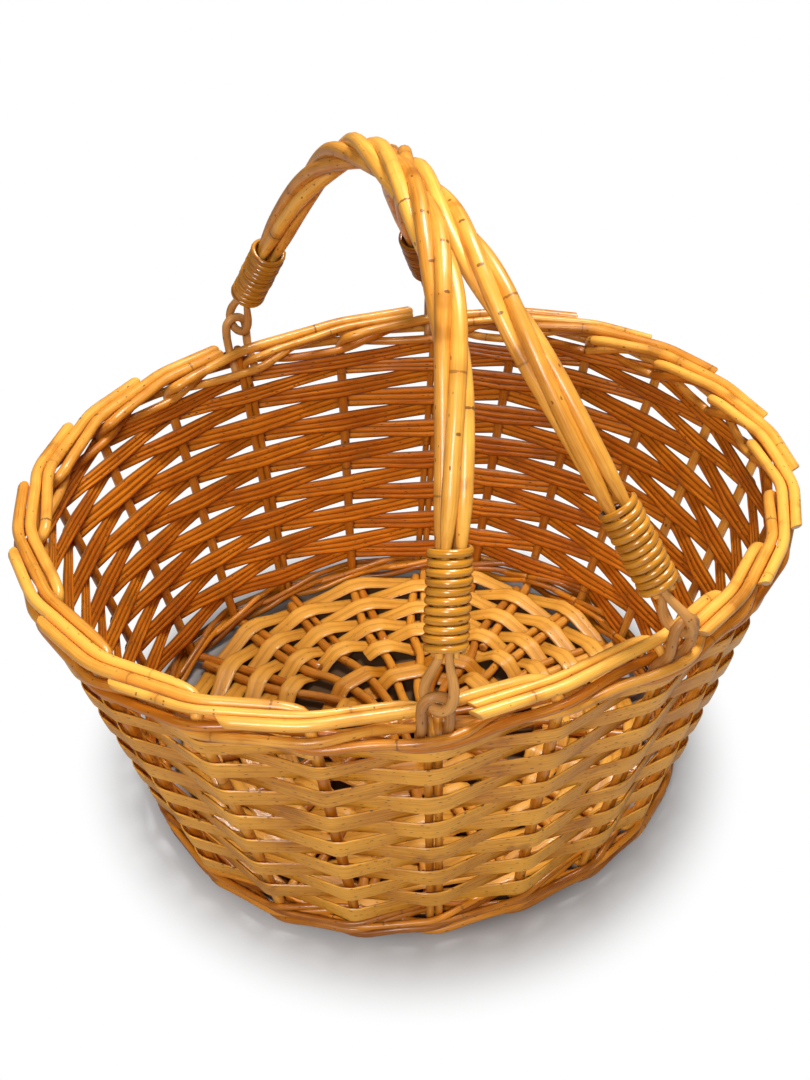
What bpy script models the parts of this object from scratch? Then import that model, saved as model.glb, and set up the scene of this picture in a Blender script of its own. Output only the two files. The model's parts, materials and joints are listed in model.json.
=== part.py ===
"""Oval wicker shopping basket with two swing handles, in metres, +Z up.

The origin is the centre of the foot, on the ground. X runs along the basket and Y
across it. Stakes are counted anticlockwise, seen from above, from the right end.
"""

import math

import bmesh
import bpy
from mathutils import Vector

# Driving sizes of the woven body
RIM_HALF_LENGTH = 0.2346  # of a smooth oval: flat gaps between stakes lie inside it
RIM_HALF_WIDTH = 0.1926
FOOT_HALF_LENGTH = 0.1785
FOOT_HALF_WIDTH = 0.1665
BODY_HEIGHT = 0.220
PLAN_POWER = 2.2  # 2 is an ellipse, more is squarer
CLEARANCE = 0.0004  # between pieces that touch

# Stakes, the uprights that everything is woven on
STAKE_COUNT = 22  # even for the ribbons, and not a multiple of three for the wales
STAKE_DIAMETER = 0.0065
BUTT_LENGTH = 0.048  # how far a stake reaches in beside its base stick
BUTT_END = 1.3  # stake diameters inside the wall, where the butt starts to turn up
BUTT_END_SIDE = 0.7  # of its place beside the base stick, there
FOOT_BEND = (  # of a stake, in its diameters: outwards and up from the end of the butt
    (-0.165, 0.165),
    (0.0, 0.88),
)
TAIL_REACH = 2.7  # stake gaps that a stake's bent tail covers
TAIL_REACH_AT_EYE = 1.7  # of a tail that a border eye stops
TAIL_ROUTE = (  # stake gaps clockwise, then its diameters outwards and below the top
    (0.0, 0.0, 2.55),
    (0.05, -1.62, 1.32),
    (0.25, -1.62, 0.92),
    (1.0, -0.81, 0.62),
    (2.0, 0.27, 0.55),
    (TAIL_REACH, 1.0, 0.60),
)

# Base
BASE_STICK_DIAMETER = 0.0055
BASE_HEIGHT = 0.0078  # centre line of the base sticks
BASE_RIBBON_WIDTH = 0.0098
BASE_RIBBON_THICKNESS = 0.0016
BASE_ROW_PITCH = 0.0120
BASE_FIRST_ROW = 0.0145  # from the wall's middle surface, inwards
BASE_ROWS = 6
BASE_CENTRE_HALF_WIDTH = 0.024  # where the sticks stop fanning out
LONG_STICKS_PER_QUARTER = 2

# Foot wale, three thin rods woven round the bottom of the wall
FOOT_WALE_DIAMETER = 0.0050
FOOT_FLAT_DEPTH = 0.0005  # worn flat where it stands
FOOT_WALE_DIP = 0.3  # of its diameter, below its inner place on the way in
FOOT_WALE_LIFT = 0.4  # of its diameter, above its low place on the way out

# Wall ribbons
RIBBON_WIDTH = 0.0119
RIBBON_THICKNESS = 0.0020
ROW_PITCH = 0.0128
FIRST_ROW_HEIGHT = 0.0232
EVEN_ROWS = 12  # above these, the rows are pushed closer together
JOIN_ROW = 7  # above this row, a second length carries on from the first
TOP_RIBBON_WIDTH = 0.0082
TOP_ROW_PITCH = 0.0092
LAST_ROW_DEPTH = 0.0291  # below the top of the border

# Rim wale, three round rods woven round under the tails
RIM_WALE_DIAMETER = 0.0055
RIM_WALE_UNDER_TAILS = 1.55  # stake diameters from the top to the upper rod
RIM_WALE_SPACING = 1.16  # of its diameter, between the two outer rods
RIM_WALE_DIP = 1.22  # of its diameter, from the upper rod down to the inner one

# Handle eyes and border eyes
EYE_DIAMETER = 0.0054
BORDER_EYE_HALF_GAP = 0.0068
HANDLE_EYE_HALF_GAP = 0.0080
EYE_LEG_LENGTH = 0.075  # below the top of the border
EYE_OUTWARD = 0.0050  # from the wall's middle surface
EYE_LEAN_START = 0.0260  # below the top, where its legs lean out of the wall
EYE_LEAN_END = 0.0075
PIVOT_ABOVE_RIM = 0.0060
EYE_HEADROOM = 0.0018  # of the arch's centre over the pivot

# Handles
NEAR_PIVOTS = (-0.0635, 0.0710)  # left and right, along the basket from its middle
FAR_PIVOTS = (-0.0499, 0.0912)
HANDLE_RISE = 0.1845  # pivot line to the middle of the crown
HANDLE_ROD_DIAMETER = 0.0075
ROD_END_DIAMETER = 0.0042  # rods and eye legs, shaved thin inside the binding
EYE_TILT = math.radians(12)  # of the eye, inwards in the handle's plane
WAIST_RISE = 0.022  # pivot to where the eye's legs meet the handle's leg
LEG_TILT = math.radians(29)  # of the leg and its binding
SHOULDER = 0.71  # how straight the arch leaves the leg, as a share of its rise
CROWN_FLATNESS = 0.39  # of the half span
HANDLE_TWIST = math.radians(540)
LEFT_LEAN = math.radians(15.1)  # inwards, at rest against the other handle
RIGHT_LEAN = math.radians(24.5)
BINDING_START = 0.006  # from the waist, along the leg
BINDING_TURNS = 11
BINDING_PITCH = 0.0044
BINDING_DIAMETER = 0.0036
LOOP_POINTS = 8
SHAVED_ROD_ANGLES = tuple(math.radians(angle) for angle in (60, 120, 240, 300))

# Facets
SHARP_ANGLE = math.radians(80)  # edges that turn more than this aren't shaded smooth
ROD_SIDES = 6
THIN_ROD_SIDES = 5
EYE_BENDS = 6
HANDLE_STEPS = 24
LEG_SHARE = 0.25  # of half a handle's steps, for the straight leg
OPENING_SHARE = 0.2  # for the rods to spread out beyond the binding

QUARTER_STAKES = STAKE_COUNT // 4
STAKE_RADIUS = STAKE_DIAMETER / 2
LEFT_PIVOT_STAKES = (STAKE_COUNT * 3 // 4 - 1, QUARTER_STAKES + 1)
RIGHT_PIVOT_STAKES = (STAKE_COUNT * 3 // 4 + 1, QUARTER_STAKES - 1)
PIVOT_STAKES = LEFT_PIVOT_STAKES + RIGHT_PIVOT_STAKES
FOOT_WALE_OUT = STAKE_RADIUS + CLEARANCE + FOOT_WALE_DIAMETER / 2
RIM_WALE_OUT = STAKE_RADIUS + CLEARANCE + RIM_WALE_DIAMETER / 2
RIBBON_OUT = STAKE_RADIUS + CLEARANCE + RIBBON_THICKNESS / 2
BASE_RIBBON_OUT = STAKE_RADIUS + CLEARANCE + BASE_RIBBON_THICKNESS / 2
FOOT_MIDDLE = (FOOT_HALF_LENGTH - FOOT_WALE_OUT - FOOT_WALE_DIAMETER / 2,
               FOOT_HALF_WIDTH - FOOT_WALE_OUT - FOOT_WALE_DIAMETER / 2)
EYE_GROUP_HALF_WIDTH = BORDER_EYE_HALF_GAP + EYE_DIAMETER / 2 + 2 * CLEARANCE
UPPER_WALE_DEPTH = RIM_WALE_UNDER_TAILS * STAKE_DIAMETER + RIM_WALE_DIAMETER / 2
RIM_MIDDLE = (RIM_HALF_LENGTH - RIM_WALE_OUT - RIM_WALE_DIAMETER / 2,
              RIM_HALF_WIDTH - RIM_WALE_OUT - RIM_WALE_DIAMETER / 2)


def clear_scene():
    for thing in list(bpy.data.objects):
        bpy.data.objects.remove(thing, do_unlink=True)


def material(name, colour, roughness):
    made = bpy.data.materials.new(name)
    made.use_nodes = True
    shader = made.node_tree.nodes["Principled BSDF"]
    shader.inputs["Base Color"].default_value = (*colour, 1.0)
    shader.inputs["Roughness"].default_value = roughness
    shader.inputs["Metallic"].default_value = 0.0
    return made


def plan_point(angle, half_length, half_width):
    """A point of the oval plan, and its outward normal."""
    share = 2 / PLAN_POWER
    x = math.copysign(abs(math.cos(angle)) ** share, math.cos(angle))
    y = math.copysign(abs(math.sin(angle)) ** share, math.sin(angle))
    slope_x = math.copysign(abs(x) ** (PLAN_POWER - 1), x) / half_length
    slope_y = math.copysign(abs(y) ** (PLAN_POWER - 1), y) / half_width
    normal = Vector((slope_x, slope_y, 0)).normalized()
    return Vector((half_length * x, half_width * y, 0)), normal


def stake_angles():
    """Plan angle of each stake: handle stakes at their pivots, the others spaced evenly
    between them along the rim."""
    steps = 4000
    turn = 2 * math.pi
    lengths = [0.0]
    for step in range(2 * steps):
        start = plan_point(turn * step / steps, *RIM_MIDDLE)[0]
        end = plan_point(turn * (step + 1) / steps, *RIM_MIDDLE)[0]
        lengths.append(lengths[-1] + (end - start).length)
    far = [pivot_angle(x) for x in FAR_PIVOTS]
    near = [turn - pivot_angle(x) for x in NEAR_PIVOTS]
    marks = [(RIGHT_PIVOT_STAKES[1], far[1]), (LEFT_PIVOT_STAKES[1], far[0]),
             (LEFT_PIVOT_STAKES[0], near[0]), (RIGHT_PIVOT_STAKES[0], near[1]),
             (RIGHT_PIVOT_STAKES[1] + STAKE_COUNT, far[1] + turn)]
    angles = [0.0] * STAKE_COUNT
    for (first, start), (last, end) in zip(marks, marks[1:]):
        start, end = (lengths[round(steps * angle / turn)] for angle in (start, end))
        for number in range(first, last):
            along = start + (end - start) * (number - first) / (last - first)
            step = next(i for i, length in enumerate(lengths) if length >= along)
            angles[number % STAKE_COUNT] = turn * step / steps % turn
    return angles


def pivot_angle(x):
    """Plan angle on the far side of a handle stake, from its place along the basket."""
    return math.acos(math.copysign(abs(x / RIM_MIDDLE[0]) ** (PLAN_POWER / 2), x))


ANGLES = stake_angles()


def ring_point(station, half_length, half_width, outward, height):
    """A point by its station: a whole number at a stake, a fraction between two."""
    first = math.floor(station)
    share = station - first
    near, near_normal = plan_point(ANGLES[first % STAKE_COUNT], half_length, half_width)
    far, far_normal = plan_point(ANGLES[(first + 1) % STAKE_COUNT], half_length, half_width)
    normal = near_normal.lerp(far_normal, share).normalized()
    place = near.lerp(far, share) + normal * outward
    place.z = height
    return place, normal


def wall_point(station, outward, height):
    """A point of the wall, by station, distance outside its middle surface and height."""
    share = height / BODY_HEIGHT
    half_length = FOOT_MIDDLE[0] + (RIM_MIDDLE[0] - FOOT_MIDDLE[0]) * share
    half_width = FOOT_MIDDLE[1] + (RIM_MIDDLE[1] - FOOT_MIDDLE[1]) * share
    return ring_point(station, half_length, half_width, outward, height)


def beside_stake(number, offset, outward, height):
    """A point of the wall, at a distance along it from a stake, anticlockwise."""
    place, normal = wall_point(number, outward, height)
    return place + Vector((0, 0, 1)).cross(normal) * offset


def leaning_normal(station):
    """Outward normal of the leaning wall."""
    foot, normal = wall_point(station, 0, 0)
    rise = wall_point(station, 0, BODY_HEIGHT)[0] - foot
    return (normal - rise * (normal.dot(rise) / rise.length_squared)).normalized()


def base_point(station, inward, height):
    """A point of the base, by station, distance inside the wall's foot and height."""
    return ring_point(station, FOOT_MIDDLE[0] - inward, FOOT_MIDDLE[1] - inward, 0, height)


def gap_after(station, maker, *place):
    """Length of the stake gap that follows a station, for a ring given by maker."""
    return (maker(station + 1, *place)[0] - maker(station, *place)[0]).length


def round_section(diameter, sides, start=0.5):
    turns = [2 * math.pi * (side + start) / sides for side in range(sides)]
    return [(diameter / 2 * math.cos(turn), diameter / 2 * math.sin(turn)) for turn in turns]


def flat_section(across, thickness):
    return [(thickness / 2, across / 2), (-thickness / 2, across / 2),
            (-thickness / 2, -across / 2), (thickness / 2, -across / 2)]


def tangents(centres):
    steps = [(ahead - here).normalized() for here, ahead in zip(centres, centres[1:])]
    return [(before + after).normalized()
            for before, after in zip(steps[:1] + steps, steps + steps[-1:])]


def sweep(name, centres, references, sections, finish):
    """One solid: a section carried along a line of centres, its first axis held to
    the reference directions. Sections may be one outline or one for each centre."""
    if isinstance(sections[0][0], float):
        sections = [sections] * len(centres)
    mesh = bmesh.new()
    rings = []
    for centre, tangent, reference, section in zip(
            centres, tangents(centres), references, sections):
        first = (reference - tangent * reference.dot(tangent)).normalized()
        second = tangent.cross(first)
        rings.append([mesh.verts.new(centre + first * a + second * b) for a, b in section])
    for ring, following in zip(rings, rings[1:]):
        for i in range(len(ring)):
            j = (i + 1) % len(ring)
            mesh.faces.new((ring[i], ring[j], following[j], following[i]))
    mesh.faces.new(list(reversed(rings[0])))
    mesh.faces.new(rings[-1])
    bmesh.ops.recalc_face_normals(mesh, faces=mesh.faces)
    return new_object(name, mesh, finish)


def new_object(name, mesh, finish):
    data = bpy.data.meshes.new(name)
    mesh.to_mesh(data)
    mesh.free()
    data.materials.append(finish)
    data.shade_smooth()
    data.set_sharp_from_angle(angle=SHARP_ANGLE)
    made = bpy.data.objects.new(name, data)
    bpy.context.collection.objects.link(made)
    return made


def steady_references(centres, start):
    """Reference directions that follow a bent line without twisting."""
    reference = start
    found = []
    for tangent in tangents(centres):
        reference = (reference - tangent * reference.dot(tangent)).normalized()
        found.append(reference)
    return found


def tail_route(number):
    """The route of a stake's tail, cut short where it would meet a border eye."""
    if (number - 2) % STAKE_COUNT not in PIVOT_STAKES:
        return TAIL_ROUTE
    route = [place for place in TAIL_ROUTE if place[0] < TAIL_REACH_AT_EYE]
    before, after = route[-1], TAIL_ROUTE[len(route)]
    share = (TAIL_REACH_AT_EYE - before[0]) / (after[0] - before[0])
    return route + [[a + (b - a) * share for a, b in zip(before, after)]]


def make_stake(number, finish):
    """A stake: butt beside a base stick, upright wall stretch, and a tail that leans in
    at the rim and is laid clockwise over its neighbours, with a cut end outside."""
    side = STAKE_RADIUS + CLEARANCE / 2
    sideways = -side / gap_after(number - 1, base_point, BUTT_LENGTH, BASE_HEIGHT)
    butt_end = BUTT_END * STAKE_DIAMETER
    centres = [
        base_point(number + sideways, BUTT_LENGTH, BASE_HEIGHT)[0],
        base_point(number + sideways * BUTT_END_SIDE, butt_end, BASE_HEIGHT)[0],
    ]
    for outward, up in FOOT_BEND:
        height = BASE_HEIGHT + up * STAKE_DIAMETER
        centres.append(wall_point(number, outward * STAKE_DIAMETER, height)[0])
    for gaps, outward, down in tail_route(number):
        height = BODY_HEIGHT - down * STAKE_DIAMETER
        centres.append(wall_point(number - gaps, outward * STAKE_DIAMETER, height)[0])
    along = wall_point(number + 0.5, 0, 0)[0] - wall_point(number, 0, 0)[0]
    return sweep(f"stake_{number + 1:02d}", centres,
                 steady_references(centres, along.normalized()),
                 round_section(STAKE_DIAMETER, THIN_ROD_SIDES), finish)


def wale_ends():
    """Steps where the three rods of a wale start and end, each behind a stake. A wale
    winds three times round, and each rod carries on from the end of the one before."""
    inside = 2
    round_of_rod = STAKE_COUNT // 3 * 3
    return [inside, inside + round_of_rod, inside + 2 * round_of_rod,
            inside + 3 * STAKE_COUNT]


def wale_strand(name, first, last, places, middles, bulges, diameter, finish):
    """One rod of a three-rod wale: outside two stakes, inside one, and on round.
    places holds (outward, height) outside low, outside high and inside; middles the
    same for the crossing that follows each, and bulges how far each stands off the
    legs of an eye."""
    centres, references = [], []
    for step in range(first, last + 1):
        stage = step % 3
        number = step % STAKE_COUNT
        outward, height = places[stage]
        end_gap = 2 * CLEARANCE
        offsets = [end_gap if step == first else -end_gap if step == last else 0.0]
        if bulges and number in PIVOT_STAKES:
            outward += bulges[stage]
            offsets = [-EYE_GROUP_HALF_WIDTH, EYE_GROUP_HALF_WIDTH]
        for offset in offsets:
            centres.append(beside_stake(number, offset, outward, height))
            references.append(wall_point(number, 0, 0)[1])
        if step < last:
            crossing, normal = wall_point(number + 0.5, *middles[stage])
            centres.append(crossing)
            references.append(normal)
    flat_side_down = round_section(diameter, THIN_ROD_SIDES, start=0.75)
    return sweep(name, centres, references, flat_side_down, finish)


def make_foot_wale(finish):
    out = FOOT_WALE_OUT
    low = FOOT_WALE_DIAMETER / 2 * math.cos(math.pi / THIN_ROD_SIDES) - FOOT_FLAT_DEPTH
    high = low + FOOT_WALE_DIAMETER + CLEARANCE
    inside = BASE_HEIGHT + STAKE_RADIUS + FOOT_WALE_DIAMETER / 2 + 2 * CLEARANCE
    places = ((out, low), (out, high), (-out, inside))
    middles = ((out + CLEARANCE, high), (0, inside - FOOT_WALE_DIAMETER * FOOT_WALE_DIP),
               (0, low + FOOT_WALE_DIAMETER * FOOT_WALE_LIFT))
    ends = wale_ends()
    for rod in range(3):
        strand = wale_strand(f"foot_wale_rod_{rod + 1}", ends[rod], ends[rod + 1], places,
                             middles, None, FOOT_WALE_DIAMETER, finish)
        cut_flat(strand)


def cut_flat(thing):
    """Cuts away what reaches below the ground and closes the cut."""
    mesh = bmesh.new()
    mesh.from_mesh(thing.data)
    everything = mesh.verts[:] + mesh.edges[:] + mesh.faces[:]
    cut = bmesh.ops.bisect_plane(mesh, geom=everything, plane_co=(0, 0, 0),
                                 plane_no=(0, 0, -1), clear_outer=True)
    edges = [piece for piece in cut["geom_cut"] if isinstance(piece, bmesh.types.BMEdge)]
    bmesh.ops.holes_fill(mesh, edges=edges)
    bmesh.ops.recalc_face_normals(mesh, faces=mesh.faces)
    mesh.to_mesh(thing.data)
    mesh.free()


def eye_bulge(height):
    """How far a rod of the rim wale goes out past its place to clear an eye's legs."""
    depth = BODY_HEIGHT - height
    lean = (EYE_LEAN_START - depth) / (EYE_LEAN_START - EYE_LEAN_END) * EYE_OUTWARD
    return max(0.0, lean + EYE_DIAMETER / 2 - STAKE_RADIUS + CLEARANCE / 4)


def make_rim_wale(finish):
    out = RIM_WALE_OUT
    high = BODY_HEIGHT - UPPER_WALE_DEPTH
    low = high - RIM_WALE_DIAMETER * RIM_WALE_SPACING
    inside = high - RIM_WALE_DIAMETER * RIM_WALE_DIP
    places = ((out, low), (out, high), (-out, inside))
    middles = ((out, (low + high) / 2 - CLEARANCE), (0, high + 1.5 * CLEARANCE),
               (0, low - RIM_WALE_DIAMETER / 3))
    bulges = (eye_bulge(low), eye_bulge(high), 0.0)
    ends = wale_ends()
    for rod in range(3):
        wale_strand(f"rim_wale_rod_{rod + 1}", ends[rod], ends[rod + 1], places, middles,
                    bulges, RIM_WALE_DIAMETER, finish)


def row_height(row):
    """Height of the wall's rows, counted from 0 at the start of the first."""
    even = min(row, EVEN_ROWS)
    return FIRST_ROW_HEIGHT + ROW_PITCH * even + TOP_ROW_PITCH * (row - even)


def row_width(row):
    """Width of the ribbon, which narrows in the last of the even rows."""
    share = max(0.0, min(1.0, row - EVEN_ROWS + 1))
    return RIBBON_WIDTH + (TOP_RIBBON_WIDTH - RIBBON_WIDTH) * share


def weaves_in_front(number, start):
    return (start > 0) == (number % 2 == 0)


def join_step(start):
    """Step where a wall ribbon's lengths meet, behind a stake with no eye beside it."""
    step = JOIN_ROW * STAKE_COUNT // 2
    while (weaves_in_front((start + step) % STAKE_COUNT, start) or
           (start + step) % STAKE_COUNT in PIVOT_STAKES):
        step += 1
    return step


def last_step():
    """Step where the wall ribbons end, under the rim wale."""
    top_rows = BODY_HEIGHT - LAST_ROW_DEPTH - row_height(EVEN_ROWS)
    return int((EVEN_ROWS + top_rows / TOP_ROW_PITCH) / 2 * STAKE_COUNT)


def make_wall_ribbon(name, start, first, last, finish):
    """One length of a flat ribbon woven in front of one stake and behind the next,
    climbing two rows a turn. On an even number of stakes it takes two ribbons, started
    on opposite sides."""
    centres, references, sections = [], [], []
    for step in range(first, last + 1):
        row = 2 * step / STAKE_COUNT
        height = row_height(row)
        number = (start + step) % STAKE_COUNT
        outward = RIBBON_OUT if weaves_in_front(number, start) else -RIBBON_OUT
        offsets = [CLEARANCE if step == first else -CLEARANCE if step == last else 0.0]
        if number in PIVOT_STAKES and height + RIBBON_WIDTH > BODY_HEIGHT - EYE_LEG_LENGTH:
            offsets = [-EYE_GROUP_HALF_WIDTH, EYE_GROUP_HALF_WIDTH]
        for offset in offsets:
            centres.append(beside_stake(number, offset, outward, height))
            references.append(leaning_normal(number))
            sections.append(flat_section(row_width(row), RIBBON_THICKNESS))
    return sweep(name, centres, references, sections, finish)


def make_base_ribbon(name, start, first_row, last_row, group, finish):
    """A flat ribbon woven over and under the base sticks, or groups of them, winding in
    two rows a turn. Like the wall's, it takes two, started on opposite sides."""
    centres = []
    turns = (last_row - first_row) / (2 * BASE_ROW_PITCH)
    for step in range(int(turns * STAKE_COUNT) + 1):
        inward = first_row + 2 * BASE_ROW_PITCH * step / STAKE_COUNT
        number = (start + step) % STAKE_COUNT
        over = (start > 0) == (number // group % 2 == 0)
        height = BASE_HEIGHT + (BASE_RIBBON_OUT if over else -BASE_RIBBON_OUT)
        half = BASE_STICK_DIAMETER / 2 + CLEARANCE
        if inward < BUTT_LENGTH + BASE_ROW_PITCH:
            half = 2 * STAKE_RADIUS + CLEARANCE
        before = number - half / gap_after(number - 1, base_point, inward, height)
        after = number + half / gap_after(number, base_point, inward, height)
        stations = [before, after]
        if group > 1:
            stations = [before] if number % group == 0 else [after]
        elif inward >= BUTT_LENGTH + BASE_ROW_PITCH:
            stations = [number]
        for station in stations:
            centres.append(base_point(station, inward, height)[0])
    return sweep(name, centres, [Vector((0, 0, 1))] * len(centres),
                 flat_section(BASE_RIBBON_WIDTH, BASE_RIBBON_THICKNESS), finish)


def stick_line(number, inner):
    """Half of a base stick, from its outer end beside a stake's butt to the middle."""
    side = BASE_STICK_DIAMETER / 2 + CLEARANCE
    outer = 1.5 * STAKE_DIAMETER
    places = ((outer, side), (BUTT_LENGTH + CLEARANCE, side),
              (BUTT_LENGTH + BASE_ROW_PITCH, 0), (inner, 0))
    points = []
    for inward, sideways in places:
        share = sideways / gap_after(number, base_point, inward, BASE_HEIGHT)
        points.append(base_point(number + share, inward, BASE_HEIGHT)[0])
    return points


def make_base_frame(finish):
    """Long sticks run through the cross sticks at the middle of the base, and their
    ends fan out to the stakes, which makes one bound frame."""
    inner = FOOT_MIDDLE[1] - BASE_CENTRE_HALF_WIDTH
    sticks = []
    for number in range(LONG_STICKS_PER_QUARTER):
        for right in (number, STAKE_COUNT - 1 - number):
            left = (STAKE_COUNT // 2 - 1 - right) % STAKE_COUNT
            sticks.append(stick_line(right, inner) + stick_line(left, inner)[::-1])
    for far in range(LONG_STICKS_PER_QUARTER, STAKE_COUNT // 2 - LONG_STICKS_PER_QUARTER):
        near = STAKE_COUNT - 1 - far
        sticks.append(stick_line(far, inner) + stick_line(near, inner)[::-1])
    solids = []
    for i, centres in enumerate(sticks):
        solids.append(sweep(f"stick_{i}", centres, [Vector((0, 0, 1))] * len(centres),
                            round_section(BASE_STICK_DIAMETER, THIN_ROD_SIDES), finish))
    frame = solids[0]
    frame.name = "base_frame"
    for solid in solids[1:]:
        joint = frame.modifiers.new(solid.name, "BOOLEAN")
        joint.operation = "UNION"
        joint.solver = "EXACT"
        joint.object = solid
        solid.hide_render = True
        solid.display_type = "WIRE"
    return frame


def eye_place(number):
    """Centre of a border eye on the pivot line, and the outward normal there."""
    return wall_point(number, EYE_OUTWARD, BODY_HEIGHT)


def make_border_eye(name, number, finish):
    """An arch of thin rod that stands out of the border, its legs beside the stake."""
    middle, normal = eye_place(number)
    along = Vector((0, 0, 1)).cross(normal)
    arch_height = BODY_HEIGHT + PIVOT_ABOVE_RIM + EYE_HEADROOM
    centres = []
    leg = ((BODY_HEIGHT - EYE_LEG_LENGTH, 0), (BODY_HEIGHT - EYE_LEAN_START, 0),
           (BODY_HEIGHT - EYE_LEAN_END, EYE_OUTWARD))
    for height, outward in leg:
        centres.append(beside_stake(number, BORDER_EYE_HALF_GAP, outward, height))
    for bend in range(EYE_BENDS + 1):
        turn = math.pi * bend / EYE_BENDS
        centres.append(Vector((middle.x, middle.y, arch_height)) +
                       along * BORDER_EYE_HALF_GAP * math.cos(turn) +
                       Vector((0, 0, BORDER_EYE_HALF_GAP * math.sin(turn))))
    for height, outward in reversed(leg):
        centres.append(beside_stake(number, -BORDER_EYE_HALF_GAP, outward, height))
    return sweep(name, centres, steady_references(centres, normal),
                 round_section(EYE_DIAMETER, THIN_ROD_SIDES), finish)


def binding_end():
    """Where the straight leg ends, from the waist."""
    return BINDING_START + (BINDING_TURNS + 1) * BINDING_PITCH + BINDING_DIAMETER


def rod_ring():
    """Distance of the shaved rod ends from the binding's middle, around the eye legs."""
    return ROD_END_DIAMETER + 1.25 * CLEARANCE


def leg_frame(half_span, end):
    """Waist, leg direction and the in-plane direction across the leg, for the near end
    (-1) or the far end (1) of a handle that stands upright on its pivot line."""
    waist = Vector((0, end * (half_span - WAIST_RISE * math.sin(EYE_TILT)),
                    WAIST_RISE * math.cos(EYE_TILT)))
    up = Vector((0, -end * math.sin(LEG_TILT), math.cos(LEG_TILT)))
    across = Vector((0, math.cos(LEG_TILT), end * math.sin(LEG_TILT)))
    return waist, up, across


def handle_line(half_span, share):
    """Centre line of a handle and its direction, from the near end (0) to the far end
    (1): straight legs inside the bindings, and an arch between them."""
    end = 1 if share > 0.5 else -1
    part = 2 * min(share, 1 - share)
    waist, up, _ = leg_frame(half_span, end)
    if part < LEG_SHARE:
        distance = BINDING_START + (binding_end() - BINDING_START) * part / LEG_SHARE
        return waist + up * distance, up * -end
    t = (part - LEG_SHARE) / (1 - LEG_SHARE)
    first = waist + up * binding_end()
    last = Vector((0, 0, HANDLE_RISE))
    second = first + up * (HANDLE_RISE - first.z) * SHOULDER
    third = last + Vector((0, end * half_span * CROWN_FLATNESS, 0))
    place = (first * (1 - t) ** 3 + second * 3 * t * (1 - t) ** 2 +
             third * 3 * t * t * (1 - t) + last * t ** 3)
    direction = ((second - first) * (1 - t) ** 2 + (third - second) * 2 * t * (1 - t) +
                 (last - third) * t * t)
    return place, direction.normalized() * -end


def smooth(share):
    share = max(0.0, min(1.0, share))
    return share * share * (3 - 2 * share)


def make_handle_rod(name, half_span, quarter, finish):
    """One of the four rods that twist round each other from binding to binding."""
    closed_angle = SHAVED_ROD_ANGLES[quarter]
    open_angle = math.radians(45 + 90 * quarter)
    open_ring = (HANDLE_ROD_DIAMETER + CLEARANCE) / math.sqrt(2)
    centres, references, sections = [], [], []
    for step in range(HANDLE_STEPS + 1):
        share = step / HANDLE_STEPS
        opened = smooth((2 * min(share, 1 - share) - LEG_SHARE) / OPENING_SHARE)
        twist = HANDLE_TWIST * smooth((share - LEG_SHARE / 2) / (1 - LEG_SHARE))
        angle = closed_angle + (open_angle - closed_angle) * opened + twist
        ring = rod_ring() + (open_ring - rod_ring()) * opened
        diameter = ROD_END_DIAMETER + (HANDLE_ROD_DIAMETER - ROD_END_DIAMETER) * opened
        centre, direction = handle_line(half_span, share)
        across = Vector((1, 0, 0))
        inward = across.cross(direction)
        centres.append(centre + inward * ring * math.cos(angle) +
                       across * ring * math.sin(angle))
        references.append(across)
        sections.append(round_section(diameter, THIN_ROD_SIDES))
    return sweep(name, centres, references, sections, finish)


def make_handle_eye(name, half_span, end, finish):
    """A U of thin rod, linked through the border eye, its legs bound into the handle."""
    waist, up, across = leg_frame(half_span, end)
    pivot = Vector((0, end * half_span, 0))
    eye_up = Vector((0, -end * math.sin(EYE_TILT), math.cos(EYE_TILT)))
    eye_across = Vector((0, math.cos(EYE_TILT), end * math.sin(EYE_TILT)))
    inside = [waist + up * (binding_end() - BINDING_DIAMETER), waist + up * BINDING_START]
    centres = [place + across * rod_ring() for place in inside]
    for bend in range(EYE_BENDS + 1):
        turn = math.pi * bend / EYE_BENDS
        centres.append(pivot + eye_up * HANDLE_EYE_HALF_GAP * (1 - math.sin(turn)) +
                       eye_across * HANDLE_EYE_HALF_GAP * math.cos(turn))
    centres += [place - across * rod_ring() for place in reversed(inside)]
    shaved = [round_section(ROD_END_DIAMETER, THIN_ROD_SIDES)] * len(inside)
    bent = [round_section(EYE_DIAMETER, THIN_ROD_SIDES)] * (EYE_BENDS + 1)
    return sweep(name, centres, [Vector((1, 0, 0))] * len(centres), shaved + bent + shaved,
                 finish)


def make_binding(name, half_span, end, finish):
    """Thin rod wound round the shaved rod ends and the eye legs: one unbroken tube."""
    waist, up, across = leg_frame(half_span, end)
    sideways = Vector((1, 0, 0))
    core = rod_ring() + ROD_END_DIAMETER / 2
    radius = (core + CLEARANCE + BINDING_DIAMETER / 2) / math.cos(math.pi / LOOP_POINTS)
    centres = []
    for step in range(BINDING_TURNS * LOOP_POINTS + 1):
        turn = 2 * math.pi * step / LOOP_POINTS
        along = BINDING_START + BINDING_PITCH * (step / LOOP_POINTS + 0.5)
        centres.append(waist + up * along + sideways * radius * math.cos(turn) +
                       across * radius * math.sin(turn))
    first_run = (centres[0] - centres[1]).normalized() * BINDING_DIAMETER
    last_run = (centres[-1] - centres[-2]).normalized() * BINDING_DIAMETER
    centres = [centres[0] + first_run] + centres + [centres[-1] + last_run]
    gap = min((a - b).length for i, a in enumerate(centres)
              for b in centres[i + LOOP_POINTS // 2:]) - BINDING_DIAMETER
    print(f"{name}: least gap between turns {gap * 1000:.2f} mm")
    return sweep(name, centres, [up] * len(centres),
                 round_section(BINDING_DIAMETER, ROD_SIDES), finish)


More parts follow.
